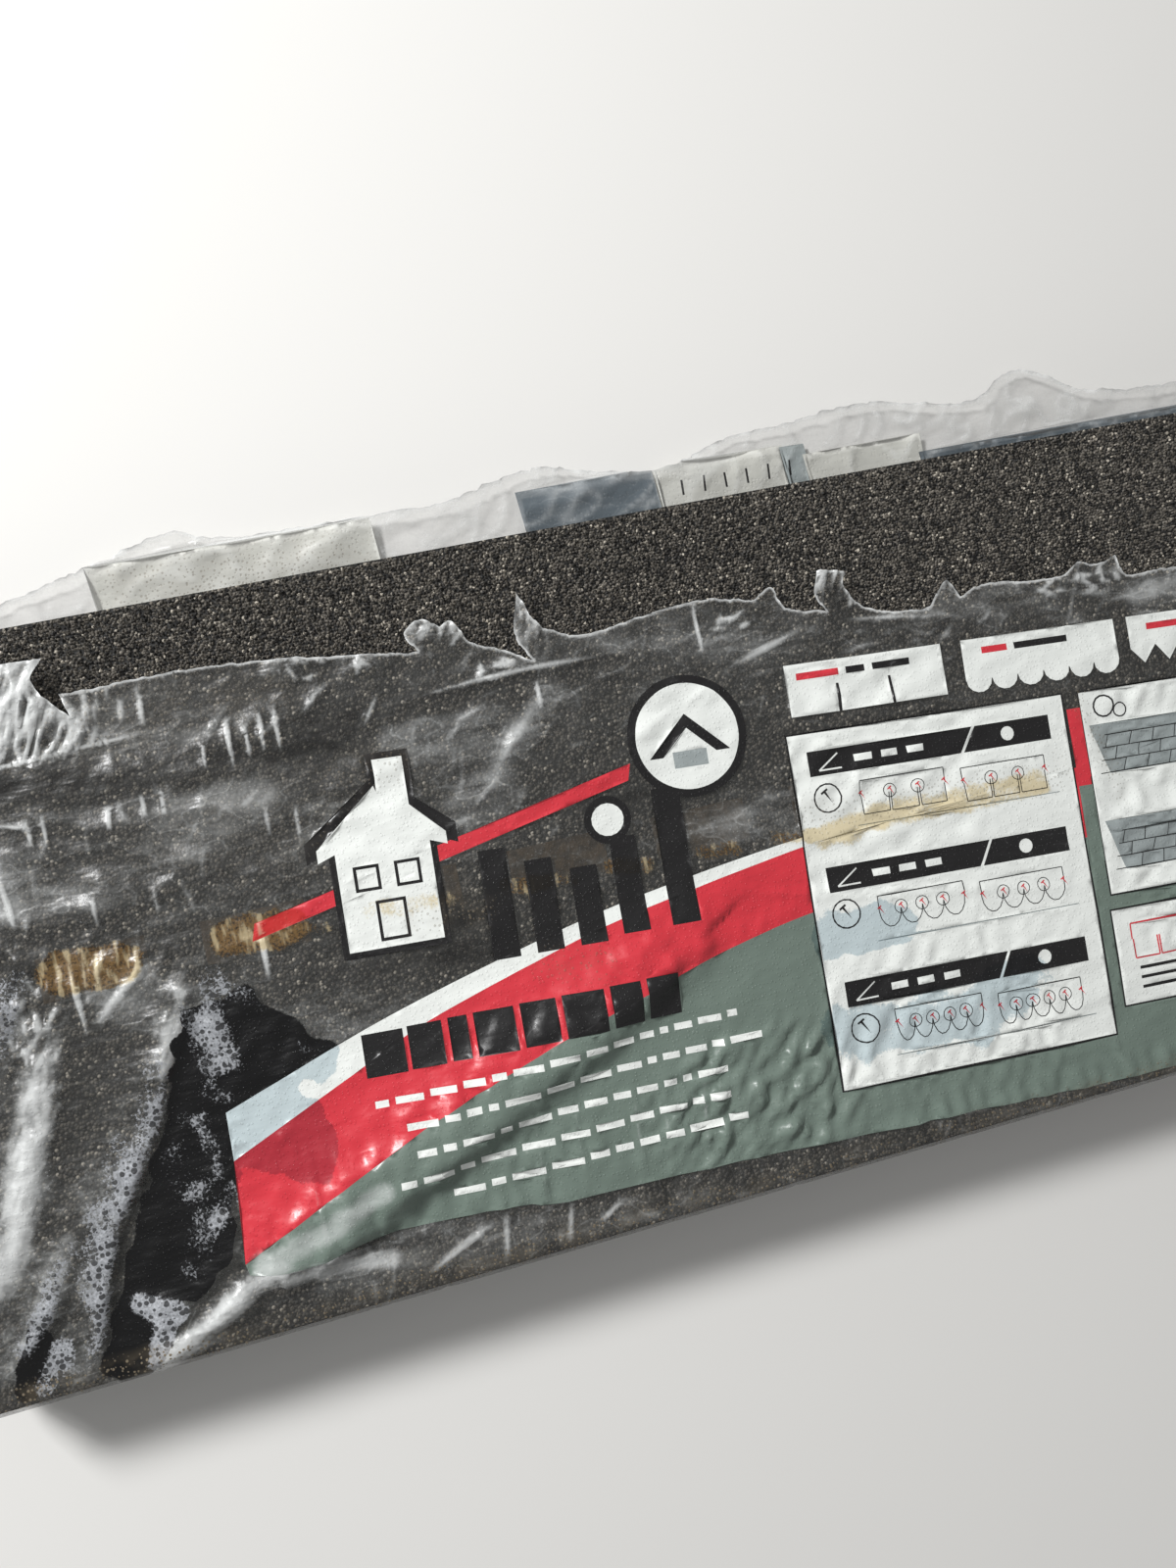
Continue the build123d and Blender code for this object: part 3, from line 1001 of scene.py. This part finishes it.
for rise, right_width, left_width, white, cold, *numbers in FOLDS:
    path = path_of(numbers)
    path = np.array(smooth_curve(path, PATH_STEP) + [path[-1]])
    near, gap, place = near_path(x, t, path, 2.6 * max(right_width, left_width))
    ridge = np.exp(-(gap / np.where(gap < 0, left_width, right_width)) ** 2)
    ridge *= np.sin(np.clip(place, 0.02, 0.98) * math.pi) ** 0.4
    ridge *= 0.85 + 0.4 * lumps(x[near], t[near], 11, 5) + 0.15 * lumps(x[near], t[near], 4, 6)
    height[near] += rise * ridge
    heading = math.degrees(math.atan2(*(path[-1] - path[0])[::-1]))
    # Whiteness along the fold: the film's whitening and partly a painted highlight.
    streaked = 0.62 + 0.75 * crumple(x[near], t[near], 3.2, 19, 5.0, heading)
    haze_and_painted_light[near] = np.maximum(haze_and_painted_light[near], white * ridge.clip(0, 1) * streaked)
    frost[near] = np.maximum(frost[near], cold * ridge.clip(0, 1))
for depth, width, *numbers in HOLLOWS:
    near, gap, _ = near_path(x, t, path_of(numbers), 2.6 * width)
    height[near] -= depth * np.exp(-(gap / width) ** 2)
for rise, size, stretch, turn, x0, t0, half_x, half_t in RIPPLES:
    away = np.hypot((x - x0) / half_x, (t - t0) / half_t)
    near = np.flatnonzero(away < 1.3)
    ripple = lumps(x[near], t[near], size, 17, stretch, turn)
    height[near] += rise * (1 - soft(away[near], 0.6, 1.3)) * ripple
height = height.clip(LEAST_RISE)
for rise, width, white, path in creases:
    near, gap, place = near_path(x, t, path, width)
    crest = (1 - np.abs(gap) / width) * (np.sin(np.clip(place, 0.02, 0.98) * math.pi) ** 0.6)
    height[near] += rise * crest.clip(0)
    # Whiteness on the crest: the film's whitening and partly a painted highlight.
    haze_and_painted_light[near] += white * crest.clip(0) ** 1.6
print("highest fold so far:", round(float(height.max()), 1), "mm")

# %% Curl the torn rim
to_tear, to_flap_edge = np.full(len(x), 99.0), np.full(len(x), 99.0)
for k in np.flatnonzero((t > 60) & (t < FILM_HALF_DEPTH + 2) & (np.abs(x) < TEAR_END + 2)):
    to_tear[k] = tear_tree.find((x[k], t[k], 0))[2]
for k in np.flatnonzero((t < T_GROUND_FAR) & (np.abs(x) < TEAR_END)):
    to_flap_edge[k] = flap_tree.find((x[k], t[k], 0))[2]
rim = np.exp(-to_tear / 4.5)
height += rim * (0.7 + 1.1 * crumple(x, y, 9, 7) + 0.5 * lumps(x, y, 30, 8))
pleats = crumple(x, t, 4.5, 11, 3.0, 68)
for x0, t0, reach, rise in LIFTS:
    stands = np.exp(-((x - x0) ** 2 + (t - t0) ** 2) / reach**2)
    height += rise * stands * (0.75 + 0.5 * pleats)
    haze_and_painted_light += stands * np.exp(-to_tear / 9) * (0.03 + 0.50 * pleats ** 1.5)
# The crumpled torn corner looks silver: the haze on its pleat crests is partly the film's whitening and
# partly a painted highlight.
silver = np.maximum(patch(-408, 131, 20, 23) * (t > 104), patch(-397, 115, 19, 8))
silver_pleats = crumple(x, t, 4.0, 13, 5.0, 58)
height += silver * (2.4 * silver_pleats + 1.6 * crumple(x, t, 9, 14, 2.0, 40))
haze_and_painted_light += silver * (0.04 + 1.1 * silver_pleats ** 1.6)
haze_and_painted_light = np.maximum(haze_and_painted_light, 0.85 * np.exp(-(to_tear / 0.8) ** 2)) + 0.04 * rim
height = np.where(to_tear < 12, np.maximum(height, 0.8), height)
height = HIGHEST_FOLD * np.tanh(height / HIGHEST_FOLD)
print("highest fold:", round(float((height * on_top).max()), 1), "mm")

# %% [markdown]
# What the film looks like changes from place to place: milky haze, trapped water, foam, brown
# stains of seal bitumen and dust. Some of it is painted light: the haze zones also hold painted
# highlights on lit fold flanks and, below 0, painted shade, and one water zone paints the shadow at
# a ridge's foot. An image could hold that, but a value on each mesh point needs no image and follows
# the sheet. Each zone below is a path with a soft, lumpy edge.

# %% Zones of haze, water and dirt
HAZE_AND_PAINTED_LIGHT_ZONES = [  # amount; below 0 is painted shade that darkens the film; half width; x and t of each point
    (0.05, 40, -410, 66, -330, 60), (0.05, 26, -240, 80, -140, 84), (0.07, 15, -352, 62, -318, 72),
    # The 0.55 zone on the next line paints a highlight on the lit flank of the big fold across the print.
    (0.03, 14, -60, 90, 160, 84), (0.55, 6, -354, -134, -325, -127, -296, -116),
    (0.16, 6, 140, 80, 170, 80), (0.12, 8, -205, 58, -168, 97), (0.1, 10, -200, 50, -225, 42),
    (0.08, 12, -110, 98, -40, 100), (0.07, 10, -20, 88, 60, 84), (0.08, 12, -240, 80, -200, 88),
    (0.08, 16, -430, 60, -400, 40), (0.06, 12, -290, 50, -250, 40),
    (0.07, 10, -420, 88, -350, 78, -300, 62), (0.08, 16, -430, -10, -448, -60, -464, -120),
    (0.05, 10, -405, -40, -418, -80), (0.18, 8, -450, 2, -436, -4), (0.1, 8, -430, 36, -430, 54),
    (0.16, 12, -395, -5, -380, 0), (0.05, 9, -425, 44, -395, 40, -380, 36),
    (0.06, 7, -330, -152, -250, -155, -150, -158), (0.04, 5, -270, -163, -160, -164, -40, -166),
    (0.1, 12, -120, 20, -95, 10), (0.05, 14, -330, 25, -300, -20), (0.3, 4, -345, -142, -300, -148),
    # Zones below 0 are painted shade that darkens the film; the first on the next line, near the tear,
    # paints the shadow of a fold valley.
    (-0.22, 9, -432, 99, -400, 97, -340, 91, -262, 95), (-0.14, 6, -245, 97, -140, 97),
    (-0.16, 8, -440, 32, -400, 30, -385, 24), (-0.14, 9, -300, 84, -262, 78),
    (-0.18, 6, -440, 22, -424, 20), (-0.16, 6, -370, 14, -354, 20), (-0.1, 14, -420, -60, -405, -20),
    (-0.14, 18, -305, -8, -225, -12), (-0.1, 12, -200, 30, -110, 26), (-0.08, 10, -330, 42, -300, 60),
]
WET_AND_SHADOW_ZONES = [  # amount, half width, then x and t of each point, as in the next three
    (1, 13, -355, -26, -359, -60, -376, -105, -386, -130), (1, 11, -342, -22, -332, -34, -314, -52),
    # The first zone on the next line runs along the east foot of the big frosted ridge and also paints its
    # shadow.
    (1, 11, -365, -44, -381, -80, -394, -106, -405, -130, -420, -162), (1, 12, -358, -30, -338, -54),
    (1, 9, -372, -84, -372, -122), (0.8, 6, -384, -128, -398, -132), (0.8, 7, -452, -140, -462, -160),
    (0.9, 13, -345, -60, -325, -78), (0.6, 12, -60, -52, -30, -54), (0.6, 19, -62, -104, 0, -112, 32, -100),
    (0.9, 14, -345, -82, -325, -92), (0.6, 9, -60, -60, -20, -58),
]
DIRTS = [  # dust and soil
    (0.35, 10, -58, 4, 10, -1, 75, -4), (0.35, 10, -275, 72, -250, 74), (0.4, 8, -255, 0, -225, -2),
    (0.3, 14, -390, 118, -300, 116), (0.7, 6, -490, -163, -200, -164, 150, -165, 490, -166),
    (0.35, 9, -200, -35, -175, -40), (0.4, 5, 95, 40, 110, -20), (0.2, 22, -345, 66, -300, 58),
    (0.3, 8, -300, -155, -150, -160), (0.45, 14, -360, ground_t(192), -250, ground_t(186)),
]
AMBERS = [  # seal patches that show through the film
    (1, 10.5, -413, 13, -387, 12), (1, 10, -341, 11, -314, 11), (0.45, 7, -275, 9, -240, 6),
    (0.55, 6, -212, 5, -180, 2), (0.55, 6, -160, 3, -142, 0), (0.55, 6, -116, 0, -98, -2),
    (0.5, 5, -78, -2, -62, -4), (0.5, 4, -308, 8, -296, 6), (0.58, 9, -52, -7, -20, -2, 10, -5, 66, -5),
]
FROSTS = [  # foam
    (0.5, 9, -446, -12, -432, 12), (0.46, 7, -350, -4, -353, -24, -350, -42),
    (0.4, 6, -365, -18, -358, -46), (0.36, 9, -376, -66, -384, -92), (0.38, 9, -372, -100, -384, -126),
    (0.62, 5, -409, -137, -394, -146), (0.6, 5, -398, -146, -402, -153), (0.55, 4, -403, -154, -409, -165),
    (0.4, 5, -330, -22, -344, -12), (0.5, 6, -445, -146, -455, -162), (0.42, 5, -367, -66, -366, -88),
    (0.38, 6, -358, -100, -368, -112), (0.42, 5, -364, -54, -355, -58), (0.4, 4, -318, -44, -314, -50),
]


def paint_zones(values, zones):
    """Adds each zone's amount to the values near its path, with a soft edge."""
    for amount, width, *numbers in zones:
        near, gap, _ = near_path(x, t, path_of(numbers), 1.6 * width)
        away = np.abs(gap) / width + 0.35 * lumps(x[near], t[near], 9, 21)
        values[near] += amount * (1 - soft(away, 0.35, 1.45))
    return values


wet_and_shadow, dirt, amber = [paint_zones(np.zeros(len(x)), zones) for zones in (WET_AND_SHADOW_ZONES, DIRTS, AMBERS)]
frost, haze_and_painted_light = paint_zones(frost, FROSTS), paint_zones(haze_and_painted_light, HAZE_AND_PAINTED_LIGHT_ZONES)
haze_and_painted_light += 0.14 * lumps(x, t, 32, 31, 3.5, -14) + 0.06 * crumple(x, t, 14, 32, 2.5, -15)
for name, values in (("wet_and_shadow", wet_and_shadow), ("frosted", frost)):
    print(name, "share:", round(float((values > 0.3).mean()), 3))

# %% [markdown]
# Sides, ends and flap. The near side hangs smooth with a few upright pleats. On the end faces the
# squeezed sheet has folds that run to the seam. The flap isn't held by anything: it lies on the
# ground in low waves, and its torn rim curls up.

# %% Lay the sheet round the bundle
on_side = soft(-y_facing, 0.3, 0.9)
side_pleats = crumple(x, t, 7, 41, 3.5, 84)
side_relief = 0.15 + 0.9 * side_pleats * soft(np.abs(t - (T_NEAR_EDGE + T_NEAR_FOOT) / 2), 34, 12)
end_x, end_y, end_z, squeezed = over_ends(x, y, z)
lift = height * on_top * (1 - squeezed) + side_relief * on_side * (1 - squeezed)
end_folds = 0.5 + 2.4 * crumple(y, z * 0.5, 15, 51) + 1.5 * crumple(y, z, 7, 52)
end_relief = squeezed * (1 - squeezed) * 4 * end_folds
px = end_x + np.sign(x) * end_relief * (1 - soft(np.abs(end_x), END_FACE + 0.5, END_FACE + 4))
py = end_y + y_facing * lift
pz = end_z + z_facing * lift
fin = soft(np.abs(end_x), END_FACE + 1, END_FACE + SEAM_REACH)
pz += fin * 1.8 * lumps(y, y * 0, 24, 53) + np.where(t > T_NEAR_EDGE - 31, 0.12, -0.12) * (squeezed > 0.95)

# %% Lay the flap on the ground
on_ground = (t < ground_t(FAR_EDGE + 1)) & (np.abs(x) < TEAR_END)
flap_reach = np.clip(y - FAR_EDGE, 0, None) * on_ground
flap_creases = crumple(x, y, 15, 62, 1.4, 30)
flap_waves = 3.0 * crumple(x, y, 38, 61, 1.2, 20) + 1.3 * flap_creases + 1.6 * (1 + lumps(x, y, 70, 63))
pz += flap_waves * soft(flap_reach, 4, 34) + 2.5 * np.exp(-to_flap_edge / 5) * (flap_reach > 8)
flap_haze = 0.10 + 0.35 * flap_creases ** 2 + 0.08 * lumps(x, y, 30, 64)
flap_haze += 0.7 * np.exp(-(to_flap_edge / 1.2) ** 2)
side_haze = 0.07 + 0.20 * side_pleats ** 2 + 0.05 * lumps(x, t, 26, 65)
haze_and_painted_light = np.where(on_ground, flap_haze, haze_and_painted_light)
haze_and_painted_light = np.where((t < T_NEAR_EDGE - 1) & ~on_ground, side_haze, haze_and_painted_light)
haze_and_painted_light += squeezed * 0.25 + fin * 0.3
print("flap rises to", round(float((pz * on_ground).max()), 1), "mm")

# %% Make the film's mesh
film_mesh = bpy.data.meshes.new("film_sheet")
film_mesh.from_pydata((np.stack([px, py, pz], 1) * MM).tolist(), [], triangles.tolist())
film_mesh.shade_smooth()
film = add_object("film_sheet", film_mesh)
for name, values in (("haze_and_painted_light", haze_and_painted_light), ("frost", frost), ("wet_and_shadow", wet_and_shadow), ("dirt", dirt), ("amber", amber)):
    values = values.clip(-0.3, 1).astype(np.float32)
    film_mesh.attributes.new(name, "FLOAT", "POINT").data.foreach_set("value", values)
flat_place = np.stack([x, t, np.zeros(len(x))], 1).astype(np.float32)
film_mesh.attributes.new("flat", "FLOAT_VECTOR", "POINT").data.foreach_set("vector", flat_place.ravel())
ink_values = np.array([(0, 0, 0, 0)] + [INKS[ink] for ink, _ in printed], np.float32)
ink_layer = film_mesh.color_attributes.new("ink", "FLOAT_COLOR", "CORNER")
ink_layer.data.foreach_set("color", np.repeat(ink_values[ink_of], 3, axis=0).ravel())
print("film area:", round(sum(polygon.area for polygon in film_mesh.polygons), 3), "m2")

# %% [markdown]
# Film is a thin clear plastic, so most light goes straight through it. The material mixes a
# transparent shader with a glossy plastic one, and the share of plastic is its cover: low where
# the film is clear, higher where it is hazy or frosted, and nearly full under ink. Its colour is
# the haze's or the ink's. The haze colour also carries painted highlights on folds and creases,
# and painted shade where the film is darkened. Fine creases, droplets and granules pressed against
# it are relief.

# %% Film material
# Of these colours, the near black after the haze grey is painted shade; the pale haze colour also paints
# highlights on folds; the pale amber paints highlights on the seal stains; the water black also paints a
# ridge's shadow.
HAZE_GREY = colour(79, 79, 76)
PAINTED_SHADE_BLACK = colour(24, 23, 22)
HAZE_PALE = colour(214, 216, 215)
FROTH_DARK = colour(14, 14, 15)
FROST = colour(186, 189, 194)
DUST = colour(114, 103, 85)
AMBER_DEEP = colour(38, 29, 18)
AMBER_MID = colour(108, 82, 44)
AMBER_PALE_HIGHLIGHT = colour(190, 174, 138)
STAIN_TINT = colour(232, 216, 184)
WET_AND_SHADOW_BLACK = colour(3, 3, 4)
WET_TINT = colour(190, 205, 214)
FOAM_SIZE = 2.9
GRIT_SIZE = 2.1
EDGE_LIGHT = 0.12
GLOSS = 0.03
GLOSS_SOFTNESS = 0.36


def film_paint():
    paint = Paint("printed_film", "2D")
    flat_at = paint.attribute("flat", "Vector")
    ink = paint.attribute("ink", "Color")
    ink_cover = ink.also("Alpha")
    place = paint.place(source=flat_at)
    on_stack = paint.split(flat_at, "Y").between(ground_t(FAR_EDGE + 2), ground_t(FAR_EDGE - 2))
    clouds = paint.noise(place, 16.0, 3.0, 0.6)
    fine = paint.noise(place, 1.3, 2.0, 0.65)
    streaks = paint.noise(paint.place((0.22, 1, 1), flat_at, -9), 6.0, 2.0, 0.6)
    crests = 1 - paint.noise(paint.place((0.55, 1, 1), flat_at, 24), 15.0).away(0.5) * 5

    def broken(zone, by_clouds, by_fine):
        """A zone's value, with its edge broken up by the noise."""
        return zone + ((clouds - 0.5) * by_clouds + (fine - 0.5) * by_fine) * zone.between(0.0, 0.3)

    # Granules press into the film from below, and grit and drops lie on it as specks.
    grain = 0.45 - paint.cells(place, STONE_SIZE)
    grit = paint.cells(place, GRIT_SIZE)
    chance = paint.split(grit.also("Color"), "X")
    specks = (chance * 0.34 - grit).between(0.0, 0.07)

    # Foam of small bubbles: pale froth with dark round holes of all sizes.
    frosted = paint.attribute("frost")
    froth = broken(frosted, 0.75, 0.8).between(0.40, 0.60)
    foam = paint.cells(place, FOAM_SIZE)
    bubble = paint.split(foam.also("Color"), "Y")
    holes = (bubble * 0.56 - foam).between(-0.02, 0.06)
    froth_light = froth * (1 - holes * 0.85) * (0.10 + fine * 1.05) * (0.25 + frosted * 0.9)

    # Trapped water darkens the film; the same mask paints the shadow at the east foot of the big frosted
    # ridge.
    wet_and_shadow = broken(paint.attribute("wet_and_shadow"), 0.5, 0.25).between(0.40, 0.50)
    soiled = paint.attribute("dirt")
    grime = (soiled * clouds.between(0.35, 0.65) * 0.4 + soiled * specks * 1.4).clamped()
    stain = broken(paint.attribute("amber"), 0.45, 0.3)
    amber = stain.between(0.36, 0.60)

    # The veil is the film's milky haze together with painted highlights: the fold and crease whiteness, the
    # lit flank zone and the fine crest lines. Where it falls below 0 the film gets painted shade.
    veil_and_painted_light = paint.attribute("haze_and_painted_light") + (streaks - 0.5) * 0.20 + (clouds - 0.5) * 0.10 + grain * 0.06
    painted_shade = (0 - veil_and_painted_light).between(0.0, 0.16)
    veil_and_painted_light = ((veil_and_painted_light + crests.between(0.84, 1.0) * 0.07 + specks * 0.05) * (1 - wet_and_shadow * 0.95)).clamped()

    # What shows through clear film, from below up, and what lies on the ink.
    # Pale cream streaks on the seal stains are painted highlights of their folds; hazy film pales the
    # stains too.
    pleats = paint.noise(paint.place((1, 0.28, 1), flat_at, 14), 3.6)
    amber_haze_and_highlight = (pleats.between(0.50, 0.74) * 0.62 + veil_and_painted_light.between(0.2, 0.6)).clamped()
    golden = paint.mix(((stain - 0.7) * 0.5 + fine).between(0.3, 0.75), AMBER_DEEP, AMBER_MID)
    golden = paint.mix(amber_haze_and_highlight, golden, AMBER_PALE_HIGHLIGHT)
    body = paint.mix(veil_and_painted_light.between(0.05, 0.5), HAZE_GREY, HAZE_PALE)
    for share, tint in (
            (painted_shade * 0.85, PAINTED_SHADE_BLACK), (wet_and_shadow, WET_AND_SHADOW_BLACK), (froth, FROTH_DARK),
            (froth_light.clamped(), FROST), (amber * 0.92, golden), (grime, DUST)):
        body = paint.mix(share, body, tint)
    tinted = ink
    for share, tint, blend in (
            (wet_and_shadow * 0.8, WET_TINT, "MULTIPLY"), (veil_and_painted_light.between(0.2, 0.8) * 0.45, HAZE_PALE, "MIX"),
            (amber, STAIN_TINT, "MULTIPLY"), (grime * 0.6, DUST, "MIX")):
        tinted = paint.mix(share, tinted, tint, blend)
    base = paint.mix(ink_cover, body, tinted)

    bare_cover = 0.04 + on_stack * 0.20 + veil_and_painted_light * 0.70 + painted_shade * 0.40
    bare_cover = bare_cover + wet_and_shadow * 0.94 + froth * 0.8 + amber * 0.82 + grime * 0.5
    cover = bare_cover.clamped().most(ink_cover)
    rough = 0.26 + froth * 0.35 + grime * 0.3 - wet_and_shadow * 0.08
    bare = 1 - ink_cover * 0.62
    relief = (grain * 0.05 + crests * 0.30 + streaks * 0.5) * bare + specks * 0.10
    lie = paint.bump(relief, 1.0)
    plastic = paint.surface(base, rough, Normal=lie, Specular_IOR_Level=EDGE_LIGHT)
    clear = paint.node("ShaderNodeBsdfTransparent", None, {"Color": (1, 1, 1, 1)})
    skin = paint.node("ShaderNodeMixShader", None, {0: cover, 1: clear, 2: plastic})

    # The smooth outer face shines the same whether the film is clear or printed.
    shine = paint.surface((1, 1, 1, 1), GLOSS_SOFTNESS, Normal=lie, Metallic=1.0)
    return paint.finish(paint.node("ShaderNodeMixShader", None, {0: GLOSS, 1: skin, 2: shine}))


film_mesh.materials.append(film_paint())
print("film nodes:", len(film_mesh.materials[0].node_tree.nodes))

# %% [markdown]
# Granules. Where the film is gone, each granule is a small faceted stone of its own: five corners
# at its foot and a short ridge on top. They are made as arrays of points in one go, in two meshes,
# because thousands of separate objects would be slow. Each carries a random tone.

# %% Granules on the bare strip
STONE_PITCH = 1.75
STONE_RISE = 0.95
STONE_FACES = np.array([(0, 1, 5), (1, 2, 5), (2, 6, 5), (2, 3, 6), (3, 4, 6), (4, 0, 6), (0, 5, 6)])
BARE_ROWS = (80, 168.6)
UNDER_FILM = 2.5


def bare_from(places):
    """The lowest Y of the tear near each x."""
    tear = np.array(tear_line)
    return [tear[np.abs(tear[:, 0] - place) < 4, 1].min() for place in places]


def granule_mesh(name, x_range):
    """Stones all over the bare part of the top strip between two x."""
    spots = np.array(grid_points(x_range, BARE_ROWS, STONE_PITCH))
    columns = np.linspace(*x_range, 400)
    spots = spots[spots[:, 1] > np.interp(spots[:, 0], columns, bare_from(columns)) - UNDER_FILM]
    spots += dice.uniform(-0.5, 0.5, spots.shape)
    count = len(spots)
    turns = dice.uniform(0, 2 * math.pi, (count, 1)) + np.arange(5) * 2 * math.pi / 5
    turns += dice.uniform(-0.35, 0.35, (count, 5))
    size = dice.uniform(0.75, 1.3, (count, 1))
    radius = size * dice.uniform(0.62, 0.98, (count, 5))
    foot = np.stack([spots[:, :1] + radius * np.cos(turns), spots[:, 1:] + radius * np.sin(turns),
                     np.full((count, 5), STRIP_TOP - 0.05)], 2)
    along = np.stack([np.cos(turns[:, 0]), np.sin(turns[:, 0])], 1) * size * 0.32
    shift = dice.uniform(-0.16, 0.16, (count, 2))
    top_z = STRIP_TOP + STONE_RISE * size * dice.uniform(0.55, 1.15, (count, 2))
    first = np.concatenate([spots + shift + along, top_z[:, :1]], 1)[:, None]
    second = np.concatenate([spots + shift - along, top_z[:, 1:]], 1)[:, None]
    corners = np.concatenate([foot, first, second], 1).reshape(-1, 3) * MM
    faces = (STONE_FACES[None] + 7 * np.arange(count)[:, None, None]).reshape(-1, 3)
    mesh = bpy.data.meshes.new(name)
    mesh.from_pydata(corners.tolist(), [], faces.tolist())
    tones = np.repeat(dice.uniform(0, 1, count), 7).astype(np.float32)
    mesh.attributes.new("tone", "FLOAT", "POINT").data.foreach_set("value", tones)
    print(name, "stones:", count, "triangles:", len(faces))
    return add_object(name, mesh)


def granule_paint():
    paint = Paint("mineral_granules")
    tone = paint.attribute("tone")
    place = paint.place()
    fine = paint.noise(place, 0.5, 2.0)
    shade = paint.mix(tone.between(0.0, 0.95), STONE_DARK, STONE_MID)
    shade = paint.mix(tone.between(0.945, 0.985), shade, STONE_PALE)
    return paint.finish(paint.surface(shade, 0.45 + fine * 0.4, Normal=paint.bump(fine, 0.12)))


granule_finish = granule_paint()
granules = [
    granule_mesh("granules_left", (1 - TEAR_END, 0)), granule_mesh("granules_right", (0, TEAR_END - 1))]
for piece in granules:
    piece.data.materials.append(granule_finish)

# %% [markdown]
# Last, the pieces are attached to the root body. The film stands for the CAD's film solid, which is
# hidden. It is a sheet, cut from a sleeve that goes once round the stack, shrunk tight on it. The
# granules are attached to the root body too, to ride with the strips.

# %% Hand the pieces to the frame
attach(film, "root")
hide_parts("film_wrap")
for piece in granules:
    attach(piece, "root")
